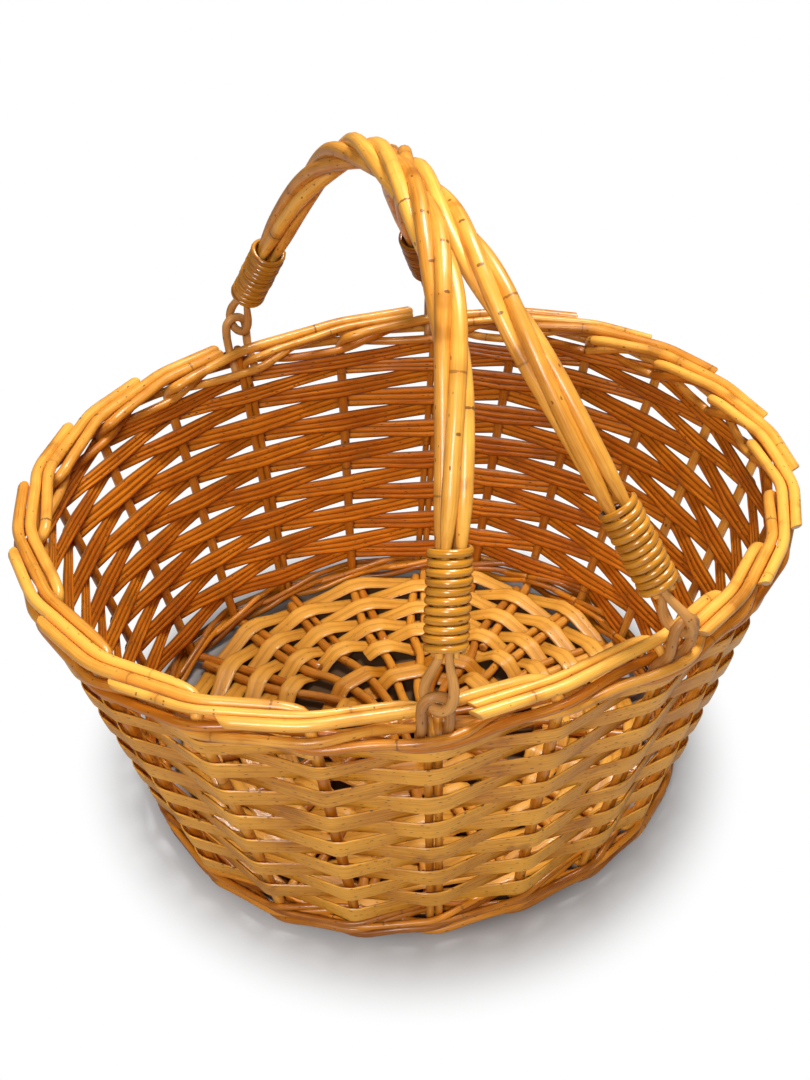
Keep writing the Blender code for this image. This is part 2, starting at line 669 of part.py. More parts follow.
def make_handle(side, lean, pivot_stakes, rods, eyes, binding):
    """A handle, upright in its own frame and then leant by its pivot empty."""
    near, far = (eye_place(number)[0] for number in pivot_stakes)
    half_span = (far - near).length / 2
    pivot = bpy.data.objects.new(f"{side}_handle_pivot", None)
    pivot.location = (near + far) / 2 + Vector((0, 0, PIVOT_ABOVE_RIM))
    pivot.rotation_euler = (0, lean, math.atan2(near.x - far.x, far.y - near.y))
    print(pivot.name, tuple(pivot.location), math.degrees(pivot.rotation_euler.z))
    bpy.context.collection.objects.link(pivot)
    pieces = [make_handle_rod(f"{side}_handle_rod_{quarter + 1}", half_span, quarter, rods)
              for quarter in range(4)]
    for end, word in ((-1, "near"), (1, "far")):
        pieces.append(make_handle_eye(f"{side}_handle_eye_{word}", half_span, end, eyes))
        pieces.append(make_binding(f"{side}_handle_binding_{word}", half_span, end, binding))
    for piece in pieces:
        piece.parent = pivot
    for number, word in zip(pivot_stakes, ("near", "far")):
        make_border_eye(f"{side}_border_eye_{word}", number, eyes)


def main():
    clear_scene()
    peeled = material("peeled willow", (0.62, 0.36, 0.10), 0.42)
    split = material("split willow", (0.55, 0.30, 0.09), 0.50)
    pale = material("pale split willow", (0.68, 0.45, 0.18), 0.50)
    grey = material("weathered willow", (0.38, 0.25, 0.16), 0.60)
    make_base_frame(peeled)
    opposite = STAKE_COUNT // 2
    last = BASE_FIRST_ROW + BASE_ROWS * BASE_ROW_PITCH
    centre = FOOT_MIDDLE[1] - BASE_CENTRE_HALF_WIDTH - BASE_RIBBON_WIDTH
    for letter, start in (("a", 0), ("b", opposite)):
        make_base_ribbon(f"base_weaver_{letter}", start, BASE_FIRST_ROW, last, 1, pale)
        make_base_ribbon(f"base_centre_weaver_{letter}", start, last + BASE_ROW_PITCH, centre,
                         2, pale)
    make_foot_wale(peeled)
    for number in range(STAKE_COUNT):
        make_stake(number, peeled)
    for letter, start in (("a", 0), ("b", opposite)):
        join = join_step(start)
        make_wall_ribbon(f"wall_weaver_{letter}_lower", start, 0, join, split)
        make_wall_ribbon(f"wall_weaver_{letter}_upper", start, join, last_step(), split)
    make_rim_wale(peeled)
    make_handle("left", LEFT_LEAN, LEFT_PIVOT_STAKES, peeled, grey, split)
    make_handle("right", -RIGHT_LEAN, RIGHT_PIVOT_STAKES, peeled, grey, split)


main()
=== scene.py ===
# %% [markdown]
# # An oval wicker shopping basket with two swing handles
#
# A willow basket is nothing but rods: some round and peeled, some split into flat ribbons, all
# bent round each other. This lesson builds each rod as a real strand that follows the path a
# basket maker gives it, and then finishes the strands with wood made from shader nodes.
#
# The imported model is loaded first. It says where every piece is and what moves with what, so
# each detailed strand here stands for one of its nodes and lies where that node lies.

# %% Load the frame
import json
import math

import bpy
import numpy as np
from mathutils import Matrix, Vector


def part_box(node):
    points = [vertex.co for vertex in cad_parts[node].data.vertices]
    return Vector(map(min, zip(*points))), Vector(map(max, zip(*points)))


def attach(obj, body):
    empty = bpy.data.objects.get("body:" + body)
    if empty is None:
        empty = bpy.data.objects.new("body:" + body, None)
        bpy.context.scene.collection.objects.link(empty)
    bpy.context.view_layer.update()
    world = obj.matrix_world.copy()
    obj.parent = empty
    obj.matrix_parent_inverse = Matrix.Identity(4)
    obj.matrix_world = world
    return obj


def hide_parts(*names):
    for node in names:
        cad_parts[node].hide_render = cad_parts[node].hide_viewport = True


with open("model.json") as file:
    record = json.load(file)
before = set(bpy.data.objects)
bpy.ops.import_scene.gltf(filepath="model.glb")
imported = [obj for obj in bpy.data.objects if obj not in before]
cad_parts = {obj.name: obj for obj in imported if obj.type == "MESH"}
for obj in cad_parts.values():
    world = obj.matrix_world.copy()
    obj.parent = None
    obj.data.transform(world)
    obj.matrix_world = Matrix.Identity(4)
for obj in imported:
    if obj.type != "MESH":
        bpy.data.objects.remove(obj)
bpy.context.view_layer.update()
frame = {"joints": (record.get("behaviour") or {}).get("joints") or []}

# %% [markdown]
# ## The basket's own sizes
#
# Everything follows from a few sizes: the oval at the rim and at the foot, the height, the
# number of stakes, and the thickness of the rods. The height and the handles' pivots are read
# from the frame. The rest are the sizes the basket is woven to, in metres.

# %% Sizes of the woven body
FOOT_OVAL = np.array((0.16985, 0.15785))  # half sizes of the wall's middle surface
RIM_OVAL = np.array((0.22545, 0.18345))
BODY_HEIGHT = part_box("stake_01")[1].z - 0.0001
PLAN_POWER = 2.2  # 2 is an ellipse, more is squarer
STAKE_COUNT = 22
STAKE_DIAMETER = 0.0065
CLEARANCE = 0.0004
LEFT_PIVOT_STAKES = (15, 6)  # near and far
RIGHT_PIVOT_STAKES = (17, 4)
PIVOT_STAKES = LEFT_PIVOT_STAKES + RIGHT_PIVOT_STAKES
NEAR_PIVOTS = (-0.0635, 0.0710)  # left and right, along the basket from its middle
FAR_PIVOTS = (-0.0499, 0.0912)
print(f"basket {BODY_HEIGHT * 1000:.0f} mm high on {STAKE_COUNT} stakes")

# %% Places on the oval wall
def oval_point(angle, half_sizes):
    """A point of the oval plan and its outward normal."""
    cosine, sine = math.cos(angle), math.sin(angle)
    x = math.copysign(abs(cosine) ** (2 / PLAN_POWER), cosine)
    y = math.copysign(abs(sine) ** (2 / PLAN_POWER), sine)
    slope = np.array((math.copysign(abs(x) ** (PLAN_POWER - 1), x) / half_sizes[0],
                      math.copysign(abs(y) ** (PLAN_POWER - 1), y) / half_sizes[1], 0.0))
    place = np.array((half_sizes[0] * x, half_sizes[1] * y, 0.0))
    return place, slope / np.linalg.norm(slope)


def pivot_angle(x):
    """Plan angle on the far side of a handle stake, from its place along the basket."""
    return math.acos(math.copysign(abs(x / RIM_OVAL[0]) ** (PLAN_POWER / 2), x))


def stake_angles():
    """Plan angle of each stake: evenly spaced along the rim from pivot to pivot."""
    steps = 4000
    turn = 2 * math.pi
    ring = np.array([oval_point(turn * i / steps, RIM_OVAL)[0] for i in range(2 * steps + 1)])
    lengths = np.concatenate([[0], np.cumsum(np.linalg.norm(np.diff(ring, axis=0), axis=1))])
    far = [pivot_angle(x) for x in FAR_PIVOTS]
    near = [turn - pivot_angle(x) for x in NEAR_PIVOTS]
    marks = [(RIGHT_PIVOT_STAKES[1], far[1]), (LEFT_PIVOT_STAKES[1], far[0]),
             (LEFT_PIVOT_STAKES[0], near[0]), (RIGHT_PIVOT_STAKES[0], near[1]),
             (RIGHT_PIVOT_STAKES[1] + STAKE_COUNT, far[1] + turn)]
    angles = [0.0] * STAKE_COUNT
    for (first, start), (last, end) in zip(marks, marks[1:]):
        start, end = (lengths[round(steps * angle / turn)] for angle in (start, end))
        for number in range(first, last):
            along = start + (end - start) * (number - first) / (last - first)
            step = np.searchsorted(lengths, along)
            angles[number % STAKE_COUNT] = turn * step / steps % turn
    return angles


ANGLES = stake_angles()


def ring_point(station, half_sizes, outward, height):
    """A point by its station: a whole number at a stake, a fraction between two."""
    first = math.floor(station)
    share = station - first
    near, near_normal = oval_point(ANGLES[first % STAKE_COUNT], half_sizes)
    far, far_normal = oval_point(ANGLES[(first + 1) % STAKE_COUNT], half_sizes)
    normal = near_normal * (1 - share) + far_normal * share
    normal /= np.linalg.norm(normal)
    place = near * (1 - share) + far * share + normal * outward
    return np.array((place[0], place[1], height)), normal


def wall_point(station, outward, height):
    share = height / BODY_HEIGHT
    return ring_point(station, FOOT_OVAL * (1 - share) + RIM_OVAL * share, outward, height)


def base_point(station, inward, height):
    return ring_point(station, FOOT_OVAL - inward, 0.0, height)[0]


def beside_stake(number, offset, outward, height):
    """A point of the wall at a distance along it from a stake, anticlockwise."""
    place, normal = wall_point(number, outward, height)
    return place + np.array((-normal[1], normal[0], 0.0)) * offset


def leaning_normal(station):
    foot, normal = wall_point(station, 0, 0)
    rise = wall_point(station, 0, BODY_HEIGHT)[0] - foot
    leaning = normal - rise * normal.dot(rise) / rise.dot(rise)
    return leaning / np.linalg.norm(leaning)


print("stake angles", [round(math.degrees(angle)) for angle in ANGLES[:7]])

# %% [markdown]
# ## One helper for every strand
# The tint also paints light and shade: lighter where a strand lies in front and darker where it
# lies behind or under others.
#
# A curve object with a bevel would make a plain round tube. Real rods vary in thickness and
# are cut at a slant, and a split ribbon has a grooved inner face. So each strand is swept in
# mesh code: a smooth curve, or straight runs with rounded corners, goes through a few chosen
# points, and an outline is carried along it. Every row of a path holds a place, an outward
# direction, a width, a thickness and a tint, and all of them are smoothed together.
#
# Each vertex also keeps where it lies on its own rod, as if the rod were straight. The wood
# grain is drawn in those coordinates, so it bends with the rod.

# %% Smooth paths
PLACE = slice(0, 3)
OUT = slice(3, 6)
WIDTH, THICKNESS, TINT = 6, 7, 8


def path_row(place, out, width, thickness, tint=0.0):
    return (*place, *out, width, thickness, tint)


def smooth_rows(rows, spacing):
    """Rows read from a smooth curve through the given rows, at an even spacing."""
    rows = np.array(rows, float)
    steps = np.linalg.norm(np.diff(rows[:, PLACE], axis=0), axis=1)
    knots = np.concatenate([[0], np.cumsum(steps)])
    slopes = np.gradient(rows, knots, axis=0)
    at = np.linspace(0, knots[-1], int(knots[-1] / spacing) + 2)
    i = np.clip(np.searchsorted(knots, at, "right") - 1, 0, len(knots) - 2)
    gap = (knots[i + 1] - knots[i])[:, None]
    t = (at - knots[i])[:, None] / gap
    return ((1 + 2 * t) * (1 - t) ** 2 * rows[i] + t * (1 - t) ** 2 * gap * slopes[i] +
            t * t * (3 - 2 * t) * rows[i + 1] + t * t * (t - 1) * gap * slopes[i + 1])


def bent_rows(rows, spacing, bend):
    """Straight runs between the given rows, with every corner rounded off."""
    rows = np.array(rows, float)
    steps = np.linalg.norm(np.diff(rows[:, PLACE], axis=0), axis=1)
    found = [rows[:1]]
    for i in range(len(steps)):
        trim = [0.0 if end in (0, len(steps)) else
                min(bend, 0.48 * steps[end - 1], 0.48 * steps[end]) / steps[i]
                for end in (i, i + 1)]
        count = max(int(steps[i] * (1 - sum(trim)) / spacing), 1)
        shares = np.linspace(trim[0], 1 - trim[1], count + 1)[:, None]
        found.append(rows[i] * (1 - shares) + rows[i + 1] * shares)
        if i + 1 < len(steps):
            first, corner = found[-1][-1], rows[i + 1]
            reach = trim[1] * steps[i] / steps[i + 1]
            last = corner * (1 - reach) + rows[i + 2] * reach
            t = np.array((0.25, 0.5, 0.75))[:, None]
            found.append(first * (1 - t) ** 2 + corner * 2 * t * (1 - t) + last * t * t)
    return np.concatenate(found[1:])


def slow_noise(distance, wavelength, random):
    """Smooth random values, from -1 to 1, along a strand."""
    values = random.uniform(-1, 1, int(distance[-1] / wavelength) + 3)
    at = distance / wavelength
    i = at.astype(int)
    t = at - i
    t = t * t * (3 - 2 * t)
    return values[i] * (1 - t) + values[i + 1] * t


def unit(vectors):
    return vectors / np.linalg.norm(vectors, axis=-1, keepdims=True)


def steady_out(tangents, start):
    """Outward directions that follow a bent rod without twisting."""
    found = []
    out = start
    for tangent in tangents:
        out = out - tangent * tangent.dot(out)
        out = out / np.linalg.norm(out)
        found.append(out)
    return np.array(found)


# %% Outlines that are carried along a path
ROUND_SIDES = 12
turns = np.arange(ROUND_SIDES) * 2 * math.pi / ROUND_SIDES
ROUND = np.stack([np.sin(turns) / 2, np.cos(turns) / 2, 0 * turns], 1)


def ribbon_outline(grooves, groove_depth):
    """Outline of a split rod, as (across, out, groove): a low crown and a grooved face."""
    crown = [(across, 0.5 - 0.55 * abs(across) ** 2.4, 0) for across in
             (-0.47, -0.36, -0.18, 0.0, 0.18, 0.36, 0.47)]
    inside = []
    steps = 4 * grooves + 4
    for step in range(steps + 1):
        across = 0.46 - 0.92 * step / steps
        wave = 0.5 - 0.5 * math.cos(2 * math.pi * (grooves + 1) * (0.5 - across / 0.92))
        inside.append((across, -0.5 + groove_depth * (1 - wave), 1 - wave))
    return np.array([(-0.5, 0.05, 0.9)] + crown + [(0.5, 0.05, 0.9)] + inside)


WALL_RIBBON = ribbon_outline(grooves=2, groove_depth=0.34)
BASE_RIBBON = ribbon_outline(grooves=1, groove_depth=0.16)[::-1] * (1, -1, 1)
print("outline points: rod", len(ROUND), "wall ribbon", len(WALL_RIBBON))

# %% The strand helper
WAVER_LENGTH = 0.03  # along a strand, from one stray to the next
SWELL_LENGTH = 0.012  # from one change in thickness to the next
TINT_SPREAD = 0.4  # between one strand and another
LIP_SHARE = 0.82  # of an end's size, inside its bevel
BEVEL_SHARE = 0.16  # of an end's radius
SHARP_ANGLE = math.radians(50)


def add_object(name, data):
    made = bpy.data.objects.new(name, data)
    bpy.context.scene.collection.objects.link(made)
    return made


class Wood:
    """Collects strands into one mesh, with the marks that the wood materials read."""

    def __init__(self, name, seed):
        self.name = name
        self.random = np.random.RandomState(seed)
        self.points, self.grain, self.marks, self.faces = [], [], [], []
        self.count = 0

    def strand(self, rows, outline, spacing=0.004, bend=None, steady=None, slants=(0, 0),
               waver=0.0, roughness=0.012):
        """Adds one strand. A bend makes straight runs with corners of that size, slants
        are how far each end's cut leans along the strand, as a share of its thickness,
        and waver is how far the path strays, in metres."""
        rows = bent_rows(rows, spacing, bend) if bend else smooth_rows(rows, spacing)
        places = rows[:, PLACE]
        distance = np.concatenate(
            [[0], np.cumsum(np.linalg.norm(np.diff(places, axis=0), axis=1))])
        tangents = unit(np.gradient(places, axis=0))
        out = rows[:, OUT] if steady is None else steady_out(tangents, np.array(steady))
        out = unit(out - tangents * (out * tangents).sum(1, keepdims=True))
        across = np.cross(tangents, out)
        if waver:
            for side in (out, across):
                noise = slow_noise(distance, WAVER_LENGTH, self.random)
                places = places + side * waver * noise[:, None]
        swell = 1 + roughness * slow_noise(distance, SWELL_LENGTH, self.random)
        width = rows[:, WIDTH] * swell
        thick = rows[:, THICKNESS] * swell
        sides = len(outline)
        lateral = outline[None, :, 0] * width[:, None]
        outward = outline[None, :, 1] * thick[:, None]
        along = np.zeros_like(lateral)
        along[0] -= slants[0] * outward[0]
        along[-1] += slants[1] * outward[-1]
        rings = (places[:, None] + across[:, None] * lateral[..., None] +
                 out[:, None] * outward[..., None] + tangents[:, None] * along[..., None])
        start = self.random.uniform(0, 40)
        grain = np.stack([np.broadcast_to(distance[:, None] + start, lateral.shape),
                          lateral, outward], -1)
        tint = rows[:, TINT] + TINT_SPREAD * self.random.uniform(-1, 1)
        inner = np.clip(-outline[:, 1] * 4, 0, 1)
        marks = np.zeros((len(rows), sides, 4))
        marks[..., 0] = np.clip(0.5 + tint, 0, 1)[:, None]
        marks[..., 1] = inner[None]
        marks[..., 2] = outline[None, :, 2]
        self._add_rings(rings, grain, marks, tangents)

    def _add_rings(self, rings, grain, marks, tangents):
        count, sides = rings.shape[:2]
        first = self.count
        i = np.arange(count - 1)[:, None] * sides
        j = np.arange(sides)[None]
        k = (j + 1) % sides
        quads = np.stack([i + j, i + sides + j, i + sides + k, i + k], -1) + first
        self.faces += quads.reshape(-1, 4).tolist()
        self._add(rings.reshape(-1, 3), grain.reshape(-1, 3), marks.reshape(-1, 4))
        for ring, direction, order in ((0, -1, 1), (count - 1, 1, -1)):
            centre = rings[ring].mean(0)
            bevel = np.linalg.norm(rings[ring] - centre, axis=1).mean() * BEVEL_SHARE
            lip = (centre + (rings[ring] - centre) * LIP_SHARE +
                   tangents[ring] * bevel * direction)
            lip_start = self.count
            edge = marks[ring].copy()
            edge[:, 3] = 1
            self._add(lip, grain[ring] + (bevel, 0, 0), edge)
            for j in range(sides):
                k = (j + 1) % sides
                quad = [first + ring * sides + j, first + ring * sides + k,
                        lip_start + k, lip_start + j]
                self.faces.append(quad[::order])
            self.faces.append(list(range(lip_start, lip_start + sides))[::order])

    def _add(self, points, grain, marks):
        self.points.append(points)
        self.grain.append(grain)
        self.marks.append(marks)
        self.count += len(points)

    def finish(self, material, body, *nodes, slot=None):
        """Makes the object, gives it its material and lets it ride in place of its nodes."""
        mesh = bpy.data.meshes.new(self.name)
        mesh.from_pydata(np.concatenate(self.points).tolist(), [], self.faces)
        for name, kind, field, values in (
                ("grain", "FLOAT_VECTOR", "vector", self.grain),
                ("marks", "FLOAT_COLOR", "color", self.marks)):
            layer = mesh.attributes.new(name, kind, "POINT")
            layer.data.foreach_set(field, np.concatenate(values).astype(np.float32).ravel())
        mesh.shade_smooth()
        mesh.set_sharp_from_angle(angle=SHARP_ANGLE)
        mesh.materials.append(material)
        made = add_object(self.name, mesh)
        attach(made, body)
        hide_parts(*nodes)
        return made


# %% [markdown]
# ## Wood from nodes
#
# All the wood is willow under a thin varnish, so its effects are shared node groups: one reads
# the marks that each strand carries, one draws the grain, one scatters the small dark flecks
# that peeled willow has, and one draws the rings where its buds were. Each material then mixes
# its own colours.

# %% Helpers for node groups
def new_group(name, inputs, outputs):
    """An empty shader node group with named sockets."""
    group = bpy.data.node_groups.new(name, "ShaderNodeTree")
    for socket, kind, value in inputs:
        made = group.interface.new_socket(socket, in_out="INPUT", socket_type=kind)
        if value is not None:
            made.default_value = value
    for socket, kind in outputs:
        group.interface.new_socket(socket, in_out="OUTPUT", socket_type=kind)
    return group, group.nodes.new("NodeGroupInput"), group.nodes.new("NodeGroupOutput")


def set_inputs(tree, node, inputs):
    """Sets inputs, by name or as _0, _1, to values, or links them to sockets."""
    for name, value in inputs.items():
        socket = node.inputs[int(name[1:])] if name[1:].isdigit() else node.inputs[name]
        if isinstance(value, bpy.types.NodeSocket):
            tree.links.new(value, socket)
        else:
            socket.default_value = value
    return node


def add_node(tree, kind, settings=None, **inputs):
    node = tree.nodes.new("ShaderNode" + kind)
    for name, value in (settings or {}).items():
        setattr(node, name, value)
    return set_inputs(tree, node, inputs)


def maths(tree, operation, first, second=0.0):
    settings = {"operation": operation}
    return add_node(tree, "Math", settings, _0=first, _1=second).outputs[0]


def times(tree, first, second):
    return maths(tree, "MULTIPLY", first, second)


def fade(tree, value, start, end, most=1.0):
    """Rises smoothly from 0 at the start to its most at the end."""
    settings = {"interpolation_type": "SMOOTHSTEP"}
    return add_node(tree, "MapRange", settings, Value=value, _1=start, _2=end, _3=0.0,
                    _4=most).outputs[0]


def mix(tree, share, first, second, blend="MIX"):
    """Mixes two colours by a share."""
    settings = {"data_type": "RGBA", "blend_type": blend}
    return add_node(tree, "Mix", settings, _0=share, _6=first, _7=second).outputs[2]


def place_group(tree, group, **inputs):
    node = tree.nodes.new("ShaderNodeGroup")
    node.node_tree = group
    return set_inputs(tree, node, inputs)


def new_material(name):
    made = bpy.data.materials.new(name)
    made.use_nodes = True
    return made, made.node_tree, made.node_tree.nodes["Principled BSDF"]


# %% The marks that a strand carries
def make_marks_group():
    outputs = [("Grain", "NodeSocketVector"), ("Tint", "NodeSocketFloat"),
               ("Inner", "NodeSocketFloat"), ("Groove", "NodeSocketFloat"),
               ("Cut", "NodeSocketFloat")]
    group, _, end = new_group("strand marks", [], outputs)
    grain = add_node(group, "Attribute", {"attribute_name": "grain"})
    marks = add_node(group, "Attribute", {"attribute_name": "marks"})
    parts = add_node(group, "SeparateColor", None, Color=marks.outputs["Color"])
    set_inputs(group, end, {"Grain": grain.outputs["Vector"], "Tint": parts.outputs[0],
                            "Inner": parts.outputs[1], "Groove": parts.outputs[2],
                            "Cut": marks.outputs["Alpha"]})
    return group


MARKS = make_marks_group()

# %% Grain that runs along the strand
def make_grain_group():
    inputs = [("Grain", "NodeSocketVector", None), ("Fineness", "NodeSocketFloat", 900.0),
              ("Length", "NodeSocketFloat", 0.03)]
    outputs = [("Streaks", "NodeSocketFloat"), ("Clouds", "NodeSocketFloat"),
               ("Fibres", "NodeSocketFloat")]
    group, start, end = new_group("willow grain", inputs, outputs)
    stretch = add_node(group, "CombineXYZ", None, X=start.outputs["Length"], Y=1.0, Z=1.0)
    along = add_node(group, "VectorMath", {"operation": "MULTIPLY"},
                     _0=start.outputs["Grain"], _1=stretch.outputs[0])
    streaks = add_node(group, "TexNoise", None, Vector=along.outputs[0],
                       Scale=start.outputs["Fineness"], Detail=4.0, Roughness=0.65)
    fine = times(group, start.outputs["Fineness"], 3.0)
    fibres = add_node(group, "TexNoise", None, Vector=along.outputs[0], Scale=fine,
                      Detail=2.0, Roughness=0.5)
    clouds = add_node(group, "TexNoise", None, Vector=start.outputs["Grain"], Scale=28.0,
                      Detail=3.0, Roughness=0.6)
    set_inputs(group, end, {"Streaks": streaks.outputs["Fac"], "Clouds": clouds.outputs["Fac"],
                            "Fibres": fibres.outputs["Fac"]})
    return group


GRAIN = make_grain_group()

# %% Small dark flecks and the rings at a rod's buds
def make_flecks_group():
    inputs = [("Grain", "NodeSocketVector", None), ("Amount", "NodeSocketFloat", 0.3)]
    group, start, end = new_group("bark flecks", inputs, [("Mask", "NodeSocketFloat")])
    stretch = add_node(group, "VectorMath", {"operation": "MULTIPLY"},
                       _0=start.outputs["Grain"], _1=(0.35, 1.0, 1.0))
    cells = add_node(group, "TexVoronoi", {"voronoi_dimensions": "2D"},
                     Vector=stretch.outputs[0], Scale=340.0, Randomness=1.0)
    pick = add_node(group, "SeparateColor", None, Color=cells.outputs["Color"])
    chosen = maths(group, "LESS_THAN", pick.outputs[0], start.outputs["Amount"])
    size = times(group, pick.outputs[1], 0.10)
    inside = fade(group, cells.outputs["Distance"], maths(group, "ADD", size, 0.06),
                  maths(group, "ADD", size, 0.01))
    set_inputs(group, end, {"Mask": times(group, inside, chosen)})
    return group


def make_buds_group():
    inputs = [("Grain", "NodeSocketVector", None), ("Frequency", "NodeSocketFloat", 9.0)]
    outputs = [("Ring", "NodeSocketFloat"), ("Stain", "NodeSocketFloat")]
    group, start, end = new_group("bud rings", inputs, outputs)
    ragged = add_node(group, "TexNoise", None, Vector=start.outputs["Grain"], Scale=420.0)
    along = add_node(group, "SeparateXYZ", None, Vector=start.outputs["Grain"])
    cells = add_node(group, "TexVoronoi", {"voronoi_dimensions": "1D"}, W=along.outputs[0],
                     Scale=start.outputs["Frequency"], Randomness=1.0)
    pick = add_node(group, "SeparateColor", None, Color=cells.outputs["Color"])
    wobble = times(group, maths(group, "SUBTRACT", ragged.outputs["Fac"], 0.5), 0.02)
    distance = maths(group, "ABSOLUTE", maths(group, "ADD", cells.outputs["Distance"], wobble))
    ring = fade(group, distance, 0.007, 0.003)
    stain = fade(group, distance, 0.07, 0.0)
    set_inputs(group, end, {"Ring": times(group, ring, pick.outputs[0]),
                            "Stain": times(group, stain, pick.outputs[1])})
    return group


FLECKS = make_flecks_group()
BUDS = make_buds_group()
print("node groups:", ", ".join(g.name for g in bpy.data.node_groups))

# %% [markdown]
# ## The willow finishes
#
# Peeled rods are golden and glossy, and darker where they stand in the base or at the foot.
# Split ribbons are duller outside and browner inside, partly where the pith was and partly as
# painted shade inside the wall, and the base ribbons are pale. Grooves and ribbon edges get a
# painted shade of dark brown. The bent eyes have weathered to a greyish brown, and the wound
# bindings are dark and the glossiest, with painted shade where each turn lies against the rods.
# One function makes them all from their own colours, so they stay one family.

# %% Make a willow material
GROOVE_SHADE_BROWN = (0.13, 0.03, 0.002, 1)
BUD_STAIN = (0.44, 0.15, 0.012, 1)
BUD_RING = (0.09, 0.025, 0.004, 1)
OLD_STAIN = (0.34, 0.115, 0.008, 1)
FLECK_BROWN = (0.10, 0.026, 0.002, 1)
CUT_WOOD = (0.40, 0.17, 0.035, 1)
COAT_ROUGHNESS = 0.14
SHADE_REACH = 0.45  # of the grain's values, on each side of their middle


def willow(name, light, dark, inner=(1, 1, 1), roughness=0.36, coat=0.3, flecks=0.3,
           buds=0.0, stains=0.6, streaks=0.8, grooves=0.6, bump=0.00012):
    made, tree, shader = new_material(name)
    marks = place_group(tree, MARKS).outputs
    grain = place_group(tree, GRAIN, Grain=marks["Grain"]).outputs
    spots = place_group(tree, FLECKS, Grain=marks["Grain"], Amount=flecks).outputs["Mask"]
    shade = maths(tree, "ADD", times(tree, grain["Clouds"], 1.1),
                  times(tree, grain["Streaks"], streaks))
    shade = maths(tree, "ADD", shade, times(tree, marks["Tint"], 0.9))
    shade = maths(tree, "ADD", shade, times(tree, grain["Fibres"], 0.5))
    middle = 1.25 + streaks / 2
    shade = add_node(tree, "MapRange", None, Value=shade, _1=middle - SHADE_REACH,
                     _2=middle + SHADE_REACH).outputs[0]
    colour = mix(tree, shade, (*dark, 1), (*light, 1))
    # The inner face is multiplied by its own colour. On the wall ribbons that is partly the
    # real brown of the pith and partly painted shade inside the wall. On the bindings it is
    # painted shade where each turn lies against the rods, and on the base ribbons it darkens
    # their underside.
    colour = mix(tree, marks["Inner"], colour, (*inner, 1), "MULTIPLY")
    # Painted shade: dark brown along the bottoms of the grooves and along both edges of a
    # ribbon.
    groove = times(tree, maths(tree, "POWER", marks["Groove"], 3.0), grooves)
    groove = times(tree, groove, maths(tree, "ADD", grain["Streaks"], 0.4))
    colour = mix(tree, groove, colour, GROOVE_SHADE_BROWN)
    if buds:
        bud = place_group(tree, BUDS, Grain=marks["Grain"]).outputs
        colour = mix(tree, times(tree, bud["Stain"], 0.55 * buds), colour,
                     BUD_STAIN)
        colour = mix(tree, times(tree, bud["Ring"], 0.8 * buds), colour,
                     BUD_RING)
    colour = mix(tree, fade(tree, grain["Clouds"], 0.42, 0.30, stains), colour, OLD_STAIN)
    colour = mix(tree, times(tree, spots, 0.75), colour, FLECK_BROWN)
    colour = mix(tree, times(tree, marks["Cut"], 0.6), colour, CUT_WOOD)
    rough = maths(tree, "ADD", times(tree, grain["Fibres"], 0.22), roughness - 0.11)
    height = maths(tree, "ADD", times(tree, grain["Fibres"], 0.5), grain["Streaks"])
    height = maths(tree, "SUBTRACT", height, times(tree, spots, 0.5))
    relief = add_node(tree, "Bump", None, Strength=0.8, Distance=bump, Height=height)
    set_inputs(tree, shader, {"Base Color": colour, "Roughness": rough, "Coat Weight": coat,
                              "Coat Roughness": COAT_ROUGHNESS, "Specular IOR Level": 0.4,
                              "Normal": relief.outputs[0]})
    return made


GOLDEN = willow("peeled_willow_rod", light=(0.96, 0.47, 0.070), dark=(0.48, 0.135, 0.004),
                buds=1.0, streaks=1.0, bump=0.00018)
UPRIGHT = willow("peeled_willow_stake", light=(0.72, 0.29, 0.024), dark=(0.36, 0.10, 0.003),
                 roughness=0.42, buds=0.6)
FOOT = willow("peeled_willow_foot", light=(0.74, 0.26, 0.014), dark=(0.24, 0.055, 0.001),
              roughness=0.42, buds=0.8)
# Inner colour: partly the real brown of the pith and partly painted shade on the inside of the
# wall.
SPLIT = willow("split_willow_ribbon", light=(0.89, 0.405, 0.038), dark=(0.42, 0.125, 0.003),
               inner=(1.05, 0.72, 0.26), roughness=0.46, coat=0.1, flecks=0.75,
               streaks=1.6, grooves=1.0, bump=0.00030)
PALE = willow("split_willow_base", light=(0.87, 0.42, 0.058), dark=(0.46, 0.155, 0.006),
              inner=(0.9, 0.8, 0.6), roughness=0.38, flecks=0.15, stains=0.2,
              streaks=1.2, grooves=0.35, bump=0.00030)
GREY = willow("weathered_willow", light=(0.70, 0.33, 0.085), dark=(0.28, 0.09, 0.014),
              roughness=0.50, coat=0.1, flecks=0.6, stains=0.4)
# Inner colour: painted shade where each turn of a binding lies against the rods.
WOUND = willow("wound_willow", light=(0.70, 0.29, 0.020), dark=(0.19, 0.046, 0.001),
               inner=(0.2, 0.12, 0.06), roughness=0.28, coat=0.6, streaks=1.2)
print("materials:", ", ".join(m.name for m in bpy.data.materials if m.name[0] in "psw"))

# %% [markdown]
# ## The base
#
# The base is begun as a cross of split sticks, and its ribbons are then woven round their
# fanned-out ends, over one and under the next. Near the wall each stake's butt lies beside a
# stick, so the ribbons kink over pairs.

# %% Base sticks
BASE_HEIGHT = 0.0078
BASE_STICK = 0.0062
BUTT_LENGTH = 0.078
BASE_PITCH = 0.0120
BASE_FIRST_ROW = 0.0080
BASE_ROWS = 6.5
BASE_RIBBON_WIDTH = 0.0136
BASE_RIBBON_THICKNESS = 0.0018
BASE_CENTRE = 0.024  # half width of the middle, where the sticks stop fanning out
BASE_NARROWING = 0.86  # of a base ribbon's width, between two sticks
